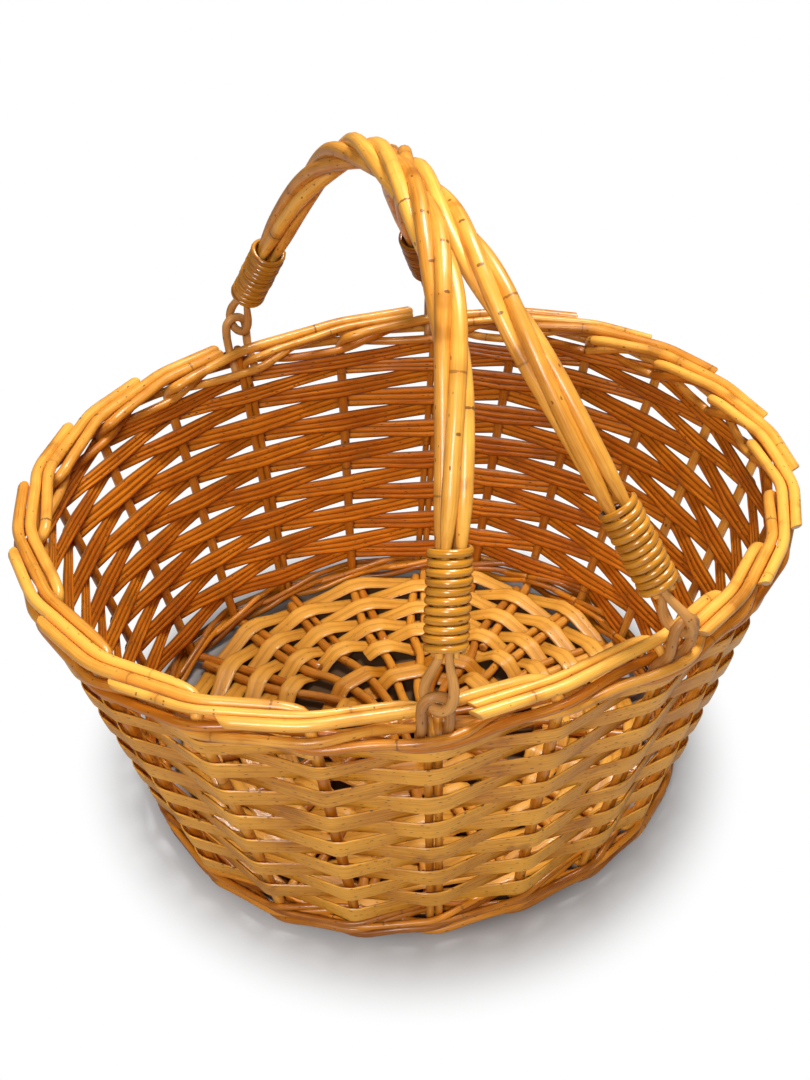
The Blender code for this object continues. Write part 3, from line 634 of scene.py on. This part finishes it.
# Painted light on a base ribbon where it passes over a stick, painted shade where it passes
# under one and between two.
BASE_LIGHT_AND_SHADE_TINTS = (0.1, -0.4, -0.2)  # over a stick, under it and between two
CORNER_SHARE = 0.8  # of a stick's half size, where a ribbon bends over it
LONG_STICKS = 2  # in a quarter of the basket
UP = np.array((0.0, 0.0, 1.0))
inner_end = FOOT_OVAL[1] - BASE_CENTRE


def gap_length(station, inward):
    step = base_point(station + 1, inward, 0) - base_point(station, inward, 0)
    return np.linalg.norm(step)


def half_stick(number):
    """Half of a base stick, from beside a stake's butt to the middle."""
    side = BASE_STICK / 2 + CLEARANCE
    places = ((1.5 * STAKE_DIAMETER, side), (BUTT_LENGTH + CLEARANCE, side),
              (BUTT_LENGTH + BASE_PITCH, 0), (inner_end, 0))
    return [base_point(number + sideways / gap_length(number, inward), inward, BASE_HEIGHT)
            for inward, sideways in places]


def stick_pairs():
    """Stations that each stick joins, across the base or along it."""
    half = STAKE_COUNT // 2
    for number in range(LONG_STICKS):
        for right in (number, STAKE_COUNT - 1 - number):
            yield right, (half - 1 - right) % STAKE_COUNT, True
    for far in range(LONG_STICKS, half - LONG_STICKS):
        yield far, STAKE_COUNT - 1 - far, False


wood = Wood("base_sticks", 3)
for one_end, other_end, lengthways in stick_pairs():
    places = half_stick(one_end) + half_stick(other_end)[::-1]
    size = BASE_STICK * (0.98 if lengthways else 1.02)
    rows = [path_row(place, UP, size, size, -0.1) for place in places]
    wood.strand(rows, ROUND, steady=UP, spacing=0.005, waver=0.0003)
base_sticks = wood.finish(UPRIGHT, "basket", "base_frame", slot="peeled_willow")
print("base sticks:", len(base_sticks.data.polygons), "faces")

# %% Base ribbons
def base_ribbon_rows(start, first_row, last_row, group):
    """A ribbon wound in over and under the sticks, two rows a turn."""
    rows = []
    turns_made = (last_row - first_row) / (2 * BASE_PITCH)
    lift = STAKE_DIAMETER / 2 + CLEARANCE + BASE_RIBBON_THICKNESS / 2
    for step in range(int(turns_made * STAKE_COUNT) + 1):
        inward = first_row + 2 * BASE_PITCH * step / STAKE_COUNT
        number = (start + step) % STAKE_COUNT
        over = (start > 0) == (number // group % 2 == 0)
        height = BASE_HEIGHT + (lift if over else -lift)
        paired = inward < BUTT_LENGTH + BASE_PITCH
        half = (STAKE_DIAMETER if paired else BASE_STICK / 2) + CLEARANCE
        before = number - half * CORNER_SHARE / gap_length(number - 1, inward)
        after = number + half * CORNER_SHARE / gap_length(number, inward)
        if group > 1:
            stations = [before] if number % group == 0 else [after]
        else:
            stations = [before, after]
        for station in stations:
            rows.append(path_row(base_point(station, inward, height), UP, BASE_RIBBON_WIDTH,
                                 BASE_RIBBON_THICKNESS, BASE_LIGHT_AND_SHADE_TINTS[0 if over else 1]))
        if number % group == group - 1:
            crossing = base_point(number + 0.5, inward + BASE_PITCH / STAKE_COUNT, BASE_HEIGHT)
            rows.append(path_row(crossing, UP, BASE_RIBBON_WIDTH * BASE_NARROWING,
                                 BASE_RIBBON_THICKNESS, BASE_LIGHT_AND_SHADE_TINTS[2]))
    return rows


last_row = BASE_FIRST_ROW + BASE_ROWS * BASE_PITCH
centre_end = inner_end - BASE_RIBBON_WIDTH
for letter, start in (("a", 0), ("b", STAKE_COUNT // 2)):
    for name, first, last, group in (
            ("base_ribbon", BASE_FIRST_ROW, last_row, 1),
            ("base_centre_ribbon", last_row + BASE_PITCH, centre_end, 2)):
        node = name.replace("ribbon", "weaver") + "_" + letter
        wood = Wood(f"{name}_{letter}", 20 + start + group)
        wood.strand(base_ribbon_rows(start, first, last, group), BASE_RIBBON,
                    spacing=0.006, bend=0.003, waver=0.0002)
        wood.finish(PALE, "basket", node, slot="pale_split_willow")
print("base ribbons: 4 lengths")

# %% [markdown]
# ## Stakes
#
# Each stake is one rod from the base to the border. At the four pivots a second rod stands
# beside the first, and both are thinner.

# %% Stakes and their bent tails
BUTT_END = 1.3  # stake diameters inside the wall, where the butt starts to turn up
FOOT_BEND = ((-0.165, 0.165), (0.0, 0.88))  # stake diameters outwards and up
WALL_HEIGHTS = (0.05, 0.12, 0.18)
# Painted shade on each stake: a little on the butt, under the base ribbons, and much more on
# its stretch in the wall, behind and between the ribbons. The tail in the border is a little
# lighter.
BUTT_SHADE_TINT = -0.15
WALL_SHADE_TINT = -0.45
TAIL_TINT = 0.15
TAIL_ROUTE = (  # stake gaps clockwise, then stake diameters outwards and below the top
    (0.0, 0.0, 2.55),
    (0.05, -1.62, 1.32),
    (0.25, -1.62, 0.92),
    (1.0, -0.81, 0.62),
    (2.0, 0.27, 0.55),
    (2.7, 1.0, 0.60),
)
TAIL_REACH_AT_EYE = 1.7  # of a tail that a border eye stops
PAIR_DIAMETER = 0.0048
PAIR_OFFSET = 0.0026


def tail_route(number):
    if (number - 2) % STAKE_COUNT not in PIVOT_STAKES:
        return TAIL_ROUTE
    route = [place for place in TAIL_ROUTE if place[0] < TAIL_REACH_AT_EYE]
    before, after = np.array(route[-1]), np.array(TAIL_ROUTE[len(route)])
    share = (TAIL_REACH_AT_EYE - before[0]) / (after[0] - before[0])
    return route + [before + (after - before) * share]


def stake_rows(number, size, sideways=0.0):
    """The path of a stake: butt, bend, wall stretch and tail."""
    butt = -(STAKE_DIAMETER + CLEARANCE) / 2
    rows = []
    for inward, share in ((BUTT_LENGTH, 1.0), (BUTT_END * STAKE_DIAMETER, 0.7)):
        station = number + share * butt / gap_length(number - 1, inward)
        rows.append((base_point(station, inward, BASE_HEIGHT), BUTT_SHADE_TINT))
    for outward, up in FOOT_BEND:
        height = BASE_HEIGHT + up * STAKE_DIAMETER
        place = beside_stake(number, sideways, outward * STAKE_DIAMETER, height)
        rows.append((place, BUTT_SHADE_TINT))
    for height in WALL_HEIGHTS:
        rows.append((beside_stake(number, sideways, 0, height), WALL_SHADE_TINT))
    for gaps, outward, down in tail_route(number):
        height = BODY_HEIGHT - down * STAKE_DIAMETER
        place = wall_point(number - gaps, outward * STAKE_DIAMETER, height)[0]
        rows.append((place, TAIL_TINT))
    return [path_row(place, UP, size, size, tint) for place, tint in rows]


for number in range(STAKE_COUNT):
    name = f"stake_{number + 1:02d}"
    wood = Wood(name + "_rod", 100 + number)
    _, normal = wall_point(number, 0, 0)
    along = np.array((-normal[1], normal[0], 0.0))
    paired = number in PIVOT_STAKES
    size = PAIR_DIAMETER if paired else STAKE_DIAMETER
    rows = stake_rows(number, size, -PAIR_OFFSET if paired else 0.0)
    wood.strand(rows, ROUND, steady=along, slants=(0, 0.9), spacing=0.005, bend=0.009,
                waver=0.0003)
    if paired:
        rows = [path_row(beside_stake(number, PAIR_OFFSET, 0, height), along,
                         PAIR_DIAMETER, PAIR_DIAMETER, WALL_SHADE_TINT)
                for height in (0.012, 0.06, 0.12, 0.18, BODY_HEIGHT - 0.004)]
        wood.strand(rows, ROUND, steady=along, spacing=0.004, waver=0.0002)
    wood.finish(GOLDEN, "basket", name, slot="peeled_willow")
print("stakes:", STAKE_COUNT, "and", len(PIVOT_STAKES), "beside the pivots")

# %% [markdown]
# ## Foot wale and rim wale
#
# A three-rod wale takes each rod in front of two stakes and behind the third. Outside it looks
# like a rope of long slanting strokes with a kink where each rod turns in.

# %% Wales
FOOT_WALE = 0.0050
RIM_WALE = 0.0055
EYE_GROUP = 0.0103  # half width of a border eye with its clearance
EYE_BULGES = (0.0017, 0.0031, 0.0)  # of the rim wale over an eye, at each of its stages
FOOT_DIP = 0.3  # of a foot rod's thickness, on its way in
FOOT_LIFT = 0.4  # on its way out
RIM_UNDER_TAILS = 1.55  # stake diameters from the top of the border
RIM_SPACING = 1.16  # of a rim rod's thickness, between the two outer rods
RIM_DIP = 1.22  # from the upper rod down to the inner one


def wale_ends():
    """Steps where the three rods of a wale start and end, each behind a stake."""
    round_of_rod = STAKE_COUNT // 3 * 3
    return [2, 2 + round_of_rod, 2 + 2 * round_of_rod, 2 + 3 * STAKE_COUNT]


def wale_rows(first, last, places, middles, bulges, size, tint):
    """One rod of a wale, from one end to the other."""
    rows = []
    for step in range(first, last + 1):
        stage = step % 3
        number = step % STAKE_COUNT
        outward, height = places[stage]
        offsets = [2 * CLEARANCE if step == first else -2 * CLEARANCE if step == last else 0.0]
        if bulges and number in PIVOT_STAKES:
            outward += bulges[stage]
            offsets = [-EYE_GROUP, EYE_GROUP]
        normal = wall_point(number, 0, 0)[1]
        for offset in offsets:
            rows.append(path_row(beside_stake(number, offset, outward, height), normal,
                                 size, size, tint))
        if step < last:
            crossing, normal = wall_point(number + 0.5, *middles[stage])
            rows.append(path_row(crossing, normal, size, size, tint))
    return rows


def make_wale(prefix, courses, middles, bulges, material, tint):
    """Three rods, each in one or more courses of its own height and size."""
    ends = wale_ends()
    for rod in range(3):
        wood = Wood(f"{prefix}_{rod + 1}_round", 200 + rod + len(prefix))
        for places, size, lift in courses:
            moved = [(outward, height + lift) for outward, height in middles]
            rows = wale_rows(ends[rod], ends[rod + 1], places, moved, bulges, size, tint)
            wood.strand(rows, ROUND, spacing=0.006, bend=0.009, waver=0.0002)
        wood.finish(material, "basket", f"{prefix}_{rod + 1}", slot="peeled_willow")


out = STAKE_DIAMETER / 2 + CLEARANCE + FOOT_WALE / 2
low = FOOT_WALE / 2
high = low + FOOT_WALE + CLEARANCE
inside = BASE_HEIGHT + STAKE_DIAMETER / 2 + FOOT_WALE / 2 + 2 * CLEARANCE
middles = ((out, high), (0, inside - FOOT_DIP * FOOT_WALE), (0, low + FOOT_LIFT * FOOT_WALE))
places = ((out, low), (out, high), (-out, inside))
UPPER_COURSE = 0.0040  # thickness of the thinner rods that lie on the foot wale
lift = high + 0.5 * (FOOT_WALE + UPPER_COURSE) - low
upper_places = ((out, low + lift), (out, low + lift + 0.8 * UPPER_COURSE),
                (-out, inside + 0.6 * UPPER_COURSE))
make_wale("foot_wale_rod", ((places, FOOT_WALE, 0.0), (upper_places, UPPER_COURSE, 0.006)),
          middles, None, FOOT, 0.0)
out = STAKE_DIAMETER / 2 + CLEARANCE + RIM_WALE / 2
high = BODY_HEIGHT - RIM_UNDER_TAILS * STAKE_DIAMETER - RIM_WALE / 2
low = high - RIM_SPACING * RIM_WALE
places = ((out, low), (out, high), (-out, high - RIM_DIP * RIM_WALE))
middles = ((out, (low + high) / 2), (0, high + 0.0006), (0, low - RIM_WALE / 3))
# The rim wale's rods get a darker tint, painted shade under the border.
make_wale("rim_wale_rod", ((places, RIM_WALE, 0.0),), middles, EYE_BULGES, GOLDEN, -0.15)
print("wales: 3 rods at the foot, 3 under the border")

# %% [markdown]
# ## Wall ribbons
#
# Two ribbons chase each other round the wall in plain weave, each in two lengths that meet
# behind a stake. They lie nearly edge to edge, and the top rows are narrower and packed closer.

# %% Wall ribbons
RIBBON_WIDTH = 0.0153
RIBBON_THICKNESS = 0.0021
ROW_PITCH = 0.0128
FIRST_ROW = 0.0232
EVEN_ROWS = 12
TOP_WIDTH = 0.0112
TOP_PITCH = 0.0092
LAST_ROW = BODY_HEIGHT - 0.0215
JOIN_ROW = 7  # above this row, a second length carries on from the first
CORNER_HALF = 0.0022  # half of a ribbon's straight run over a stake
CORNER_HALF_AT_EYE = 0.0046
WALL_NARROWING = 0.84  # of a wall ribbon's width, between two stakes
# Painted light on a ribbon where it stands in front of a stake, painted shade where it passes
# behind one and where it crosses between two.
RIBBON_LIGHT_AND_SHADE_TINTS = (0.1, -0.3, -0.25)  # in front of a stake, behind it and between two


def row_height(row):
    even = min(row, EVEN_ROWS)
    return FIRST_ROW + ROW_PITCH * even + TOP_PITCH * (row - even)


def row_width(row):
    share = max(0.0, min(1.0, row - EVEN_ROWS + 1))
    return RIBBON_WIDTH + (TOP_WIDTH - RIBBON_WIDTH) * share


def in_front(number, start):
    return (start > 0) == (number % 2 == 0)


def join_step(start):
    """Step where a ribbon's two lengths meet, behind a stake with no eye beside it."""
    step = JOIN_ROW * STAKE_COUNT // 2
    while (in_front((start + step) % STAKE_COUNT, start) or
           (start + step) % STAKE_COUNT in PIVOT_STAKES):
        step += 1
    return step


def wall_ribbon_rows(start, first, last):
    """One length of ribbon, bent round each stake and straight between them."""
    rows = []
    beside = STAKE_DIAMETER / 2 + CLEARANCE + RIBBON_THICKNESS / 2
    for step in range(first, last + 1):
        row = 2 * step / STAKE_COUNT
        number = (start + step) % STAKE_COUNT
        outward = beside if in_front(number, start) else -beside
        half = CORNER_HALF_AT_EYE if number in PIVOT_STAKES else CORNER_HALF
        offsets = [-half, half]
        if step in (first, last):
            offsets = [CLEARANCE, half] if step == first else [-half, -CLEARANCE]
        tint = RIBBON_LIGHT_AND_SHADE_TINTS[0 if outward > 0 else 1]
        for offset in offsets:
            rows.append(path_row(beside_stake(number, offset, outward, row_height(row)),
                                 leaning_normal(number), row_width(row), RIBBON_THICKNESS,
                                 tint))
        if step < last:
            middle = row_height(row + 1 / STAKE_COUNT)
            rows.append(path_row(wall_point(number + 0.5, 0, middle)[0],
                                 leaning_normal(number + 0.5),
                                 row_width(row) * WALL_NARROWING, RIBBON_THICKNESS,
                                 RIBBON_LIGHT_AND_SHADE_TINTS[2]))
    return rows


last_step = int((EVEN_ROWS + (LAST_ROW - row_height(EVEN_ROWS)) / TOP_PITCH) / 2 * STAKE_COUNT)
for letter, start in (("a", 0), ("b", STAKE_COUNT // 2)):
    join = join_step(start)
    for part, first, last in (("lower", 0, join), ("upper", join, last_step)):
        wood = Wood(f"wall_ribbon_{letter}_{part}", 300 + start + first)
        wood.strand(wall_ribbon_rows(start, first, last), WALL_RIBBON, spacing=0.008,
                    bend=0.004, waver=0.0003, roughness=0.03)
        wood.finish(SPLIT, "basket", f"wall_weaver_{letter}_{part}", slot="split_willow")
print("wall ribbons: 2, each in 2 lengths")

# %% [markdown]
# ## Eyes
#
# A border eye is an arch of thin rod pushed down into the border, and a handle eye hooks
# through it like a chain link.

# %% Border eyes
EYE_DIAMETER = 0.0056
BORDER_EYE_HALF = 0.0068
EYE_OUTWARD = 0.0050
EYE_LEG = 0.026  # below the top of the border
EYE_LEAN_START = 0.020  # below the top, where its legs lean out of the wall
EYE_LEAN_END = 0.0075
EYE_HEADROOM = 0.0018  # of the arch's centre over the pivot
PIVOT_HEIGHT = frame["joints"][0]["pos_m"][2]
EYE_BENDS = 12


def border_eye_rows(number):
    middle, normal = wall_point(number, EYE_OUTWARD, BODY_HEIGHT)
    along = np.array((-normal[1], normal[0], 0.0))
    legs = ((BODY_HEIGHT - EYE_LEG, 0.0), (BODY_HEIGHT - EYE_LEAN_START, 0.0),
            (BODY_HEIGHT - EYE_LEAN_END, EYE_OUTWARD))
    places = [beside_stake(number, BORDER_EYE_HALF, outward, height)
              for height, outward in legs]
    for bend in range(EYE_BENDS + 1):
        turn = math.pi * bend / EYE_BENDS
        places.append(np.array((middle[0], middle[1], PIVOT_HEIGHT + EYE_HEADROOM)) +
                      along * BORDER_EYE_HALF * math.cos(turn) +
                      UP * BORDER_EYE_HALF * math.sin(turn))
    places += [beside_stake(number, -BORDER_EYE_HALF, outward, height)
               for height, outward in reversed(legs)]
    return [path_row(place, normal, EYE_DIAMETER, EYE_DIAMETER) for place in places]


for side, stakes in (("left", LEFT_PIVOT_STAKES), ("right", RIGHT_PIVOT_STAKES)):
    for number, end in zip(stakes, ("near", "far")):
        wood = Wood(f"{side}_border_eye_{end}_bent", 400 + number)
        rows = border_eye_rows(number)
        wood.strand(rows, ROUND, spacing=0.0018, steady=rows[0][OUT], roughness=0.02)
        wood.finish(GREY, "basket", f"{side}_border_eye_{end}", slot="weathered_willow")
print("border eyes: 4")

# %% [markdown]
# ## Handles
#
# Each handle is built upright about its own pivot line and then leant over onto the other one.
# Four rods twist round each other between the bindings.

# %% Handle shape
HANDLE_RISE = 0.1845
HANDLE_ROD = 0.0083
HANDLE_RING = 0.0052  # from the middle of a handle to the middles of its rods
ROD_END = 0.0042  # rods and eye legs, shaved thin inside the binding
SHAVED_RING = ROD_END + 1.25 * CLEARANCE  # from the binding's middle to theirs
EYE_TILT = math.radians(12)
WAIST_RISE = 0.022
LEG_TILT = math.radians(29)
SHOULDER = 0.71
CROWN_FLATNESS = 0.39
HANDLE_TWIST = math.radians(540)
LEANS = {"left": math.radians(15.1), "right": -math.radians(24.5)}
HANDLE_EYE_HALF = 0.0080
EYE_TURN = math.radians(32)  # of a handle eye about its own leg
BINDING_START = 0.006
BINDING_TURNS = 11
BINDING_PITCH = 0.0044
BINDING_ROD = 0.0036
LEG_END = BINDING_START + (BINDING_TURNS + 1) * BINDING_PITCH + BINDING_ROD
LEG_SHARE = 0.25
OPENING_SHARE = 0.14  # for the rods to spread out of the binding
HANDLE_STEPS = 96
BINDING_POINTS = 16  # in a turn
BINDING_SPREAD = 1.03  # of its radius, so that its turns stand proud
BINDING_FILL = 0.94  # of its pitch that the rod fills
SHAVED_ANGLES = [math.radians(angle) for angle in (60, 120, 240, 300)]
SIDEWAYS = np.array((1.0, 0.0, 0.0))


def leg_frame(half_span, end):
    """Waist, leg direction and direction across the leg, for an upright handle."""
    waist = np.array((0, end * (half_span - WAIST_RISE * math.sin(EYE_TILT)),
                      WAIST_RISE * math.cos(EYE_TILT)))
    up = np.array((0, -end * math.sin(LEG_TILT), math.cos(LEG_TILT)))
    across = np.array((0, math.cos(LEG_TILT), end * math.sin(LEG_TILT)))
    return waist, up, across


def handle_line(half_span, share):
    """Centre line of a handle and its direction, from the near end to the far one."""
    end = 1 if share > 0.5 else -1
    part = 2 * min(share, 1 - share)
    waist, up, _ = leg_frame(half_span, end)
    if part < LEG_SHARE:
        distance = BINDING_START + (LEG_END - BINDING_START) * part / LEG_SHARE
        return waist + up * distance, up * -end
    t = (part - LEG_SHARE) / (1 - LEG_SHARE)
    first = waist + up * LEG_END
    last = np.array((0, 0, HANDLE_RISE))
    second = first + up * (HANDLE_RISE - first[2]) * SHOULDER
    third = last + np.array((0, end * half_span * CROWN_FLATNESS, 0))
    place = (first * (1 - t) ** 3 + second * 3 * t * (1 - t) ** 2 +
             third * 3 * t * t * (1 - t) + last * t ** 3)
    direction = ((second - first) * (1 - t) ** 2 + (third - second) * 2 * t * (1 - t) +
                 (last - third) * t * t)
    return place, unit(direction) * -end


def ease(share):
    share = max(0.0, min(1.0, share))
    return share * share * (3 - 2 * share)


def handle_rod_rows(half_span, quarter):
    rows = []
    open_angle = math.radians(45 + 90 * quarter)
    for step in range(HANDLE_STEPS + 1):
        share = step / HANDLE_STEPS
        opened = ease((2 * min(share, 1 - share) - LEG_SHARE) / OPENING_SHARE + 0.5)
        twist = HANDLE_TWIST * ease((share - LEG_SHARE / 2) / (1 - LEG_SHARE))
        angle = SHAVED_ANGLES[quarter] * (1 - opened) + open_angle * opened + twist
        ring = SHAVED_RING * (1 - opened) + HANDLE_RING * opened
        size = ROD_END * (1 - opened) + HANDLE_ROD * opened
        centre, direction = handle_line(half_span, share)
        inward = np.cross(SIDEWAYS, direction)
        place = (centre + inward * ring * math.cos(angle) +
                 SIDEWAYS * ring * math.sin(angle))
        rows.append(path_row(place, SIDEWAYS, size, size, 0.2))
    return rows


def handle_eye_rows(half_span, end):
    waist, up, across = leg_frame(half_span, end)
    pivot = np.array((0, end * half_span, 0))
    eye_up = np.array((0, -end * math.sin(EYE_TILT), math.cos(EYE_TILT)))
    eye_across = np.array((0, math.cos(EYE_TILT), end * math.sin(EYE_TILT)))
    eye_across = eye_across * math.cos(EYE_TURN) + SIDEWAYS * -math.sin(EYE_TURN)
    inside = [waist + up * (LEG_END - 4 * BINDING_ROD), waist + up * BINDING_START]
    places = [place + across * SHAVED_RING for place in inside]
    for bend in range(EYE_BENDS + 1):
        turn = math.pi * bend / EYE_BENDS
        places.append(pivot + eye_up * HANDLE_EYE_HALF * (1 - math.sin(turn)) +
                      eye_across * HANDLE_EYE_HALF * math.cos(turn))
    places += [place - across * SHAVED_RING for place in reversed(inside)]
    sizes = [ROD_END] * 2 + [EYE_DIAMETER] * (EYE_BENDS + 1) + [ROD_END] * 2
    return [path_row(place, SIDEWAYS, size, size) for place, size in zip(places, sizes)]


def binding_rows(half_span, end):
    waist, up, across = leg_frame(half_span, end)
    radius = SHAVED_RING + ROD_END / 2 + CLEARANCE + BINDING_ROD / 2
    rows = []
    for step in range(BINDING_TURNS * BINDING_POINTS + 1):
        turn = 2 * math.pi * step / BINDING_POINTS
        along = BINDING_START + BINDING_PITCH * (step / BINDING_POINTS + 0.5)
        outward = SIDEWAYS * math.cos(turn) + across * math.sin(turn)
        place = waist + up * along + outward * radius * BINDING_SPREAD
        rows.append(path_row(place, outward, BINDING_PITCH * BINDING_FILL, BINDING_ROD))
    return rows


# %% Make both handles
for side, joint in zip(("left", "right"), frame["joints"]):
    pivot = np.array(joint["pos_m"])
    stakes = LEFT_PIVOT_STAKES if side == "left" else RIGHT_PIVOT_STAKES
    near, far = (wall_point(number, EYE_OUTWARD, BODY_HEIGHT)[0] for number in stakes)
    half_span = np.linalg.norm(far - near) / 2
    turn = math.atan2(near[0] - far[0], far[1] - near[1])
    lean = np.array(Matrix.Rotation(turn, 3, "Z") @ Matrix.Rotation(LEANS[side], 3, "Y"))
    body = "handle_" + side

    def leant(rows):
        """Rows turned from the upright handle to its place at rest."""
        rows = np.array(rows)
        rows[:, PLACE] = rows[:, PLACE] @ lean.T + pivot
        rows[:, OUT] = rows[:, OUT] @ lean.T
        return rows

    for quarter in range(4):
        name = f"{side}_handle_rod_{quarter + 1}"
        wood = Wood(name + "_twisted", 500 + quarter + 10 * len(side))
        wood.strand(leant(handle_rod_rows(half_span, quarter)), ROUND, spacing=0.0035)
        wood.finish(GOLDEN, body, name, slot="peeled_willow")
    for end, word in ((-1, "near"), (1, "far")):
        name = f"{side}_handle_eye_{word}"
        wood = Wood(name + "_bent", 600 + end + 10 * len(side))
        wood.strand(leant(handle_eye_rows(half_span, end)), ROUND, spacing=0.0018,
                    roughness=0.02)
        wood.finish(GREY, body, name, slot="weathered_willow")
        name = f"{side}_handle_binding_{word}"
        wood = Wood(name + "_wound", 700 + end + 10 * len(side))
        wood.strand(leant(binding_rows(half_span, end)), ROUND, spacing=0.002, waver=0.0003,
                    roughness=0.04)
        wood.finish(WOUND, body, name, slot="split_willow")
print("handles: 2, each of 4 rods, 2 eyes and 2 bindings")

# %% [markdown]
# ## Floor, light and camera
#
# The floor is plain: dark brown right under the basket, a painted shadow where it shows through
# the open base, pale round it, where the real shadow falls, and white to the camera beyond. The
# light is soft and comes mostly from above and in front.

# %% Floor
FLOOR_SIZE = 12.0
# The floor under the basket is painted dark brown as a shadow, fading to pale between these
# radii.
PAINTED_SHADOW_RADII = (0.15, 0.175)  # from brown to pale
WHITE_RADII = (0.165, 0.23)  # from pale to white
PAINTED_SHADOW_BROWN = (0.10, 0.055, 0.025, 1)
PALE_GREY = (0.5, 0.5, 0.5, 1)


def floor_material():
    made, tree, shader = new_material("pale_floor")
    white = add_node(tree, "Emission", None, Color=(1, 1, 1, 1), Strength=1.0)
    place = add_node(tree, "NewGeometry")
    reach = add_node(tree, "VectorMath", {"operation": "LENGTH"}, _0=place.outputs["Position"])
    # Painted shadow: dark brown on the floor right under the basket, where it shows through the
    # open base.
    under = fade(tree, reach.outputs["Value"], *PAINTED_SHADOW_RADII)
    colour = mix(tree, under, PAINTED_SHADOW_BROWN, PALE_GREY)
    set_inputs(tree, shader, {"Base Color": colour, "Roughness": 0.9,
                              "Specular IOR Level": 0.1})
    beyond = fade(tree, reach.outputs["Value"], *WHITE_RADII)
    seen = add_node(tree, "LightPath").outputs["Is Camera Ray"]
    both = add_node(tree, "MixShader", None, _0=times(tree, beyond, seen),
                    _1=shader.outputs[0], _2=white.outputs[0])
    tree.links.new(both.outputs[0], tree.nodes["Material Output"].inputs["Surface"])
    return made


floor_mesh = bpy.data.meshes.new("floor")
corners = [(x * FLOOR_SIZE / 2, y * FLOOR_SIZE / 2, 0) for x, y in
           ((-1, -1), (1, -1), (1, 1), (-1, 1))]
floor_mesh.from_pydata(corners, [], [(0, 1, 2, 3)])
floor_mesh.materials.append(floor_material())
floor = add_object("floor", floor_mesh)

# %% Light
AIM = Vector((0, 0, 0.12))  # of the lamps and the camera
WORLD_LIGHT = 0.11
WORLD_GLOSS = 0.08
LAMP_SIZE = 0.45
world = bpy.data.worlds.new("studio")
bpy.context.scene.world = world
world.use_nodes = True
sky = world.node_tree
ray = add_node(sky, "LightPath").outputs
strength = add_node(sky, "MapRange", None, Value=ray["Is Glossy Ray"], _3=WORLD_LIGHT,
                    _4=WORLD_GLOSS)
strength = maths(sky, "MAXIMUM", strength.outputs[0], ray["Is Camera Ray"])
sky.nodes["Background"].inputs["Color"].default_value = (1, 1, 1, 1)
sky.links.new(strength, sky.nodes["Background"].inputs["Strength"])


def area_light(name, place, power):
    lamp = bpy.data.lights.new(name, "AREA")
    lamp.size = LAMP_SIZE
    lamp.energy = power
    made = add_object(name, lamp)
    made.location = place
    towards = AIM - Vector(place)
    made.rotation_euler = towards.to_track_quat("-Z", "Y").to_euler()


area_light("key", (-0.7, -1.1, 1.2), 17)
area_light("top", (0.3, 0.1, 1.5), 22)

# %% Camera
AZIMUTH = math.radians(-22.83)
ELEVATION = math.radians(42.12)
DISTANCE = 0.844
ROLL = 0.0076
PHOTO_HEIGHT = 1080
FOCAL_PIXELS = 1330
SHIFT_PIXELS = (7.0, 60.7)
camera_data = bpy.data.cameras.new("camera")
camera_data.sensor_width = 36
camera_data.lens = FOCAL_PIXELS * camera_data.sensor_width / PHOTO_HEIGHT
camera_data.shift_x = -SHIFT_PIXELS[0] / PHOTO_HEIGHT
camera_data.shift_y = SHIFT_PIXELS[1] / PHOTO_HEIGHT
camera = add_object("camera", camera_data)
back = Vector((math.sin(AZIMUTH) * math.cos(ELEVATION),
               -math.cos(AZIMUTH) * math.cos(ELEVATION), math.sin(ELEVATION)))
right = Vector((0, 0, 1)).cross(back).normalized()
up = back.cross(right)
rolled_right = right * math.cos(ROLL) + up * math.sin(ROLL)
rolled_up = up * math.cos(ROLL) - right * math.sin(ROLL)
turned = Matrix((rolled_right, rolled_up, back)).transposed().to_4x4()
camera.matrix_world = Matrix.Translation(AIM + back * DISTANCE) @ turned
bpy.context.scene.camera = camera
bpy.context.scene.view_settings.view_transform = "Standard"
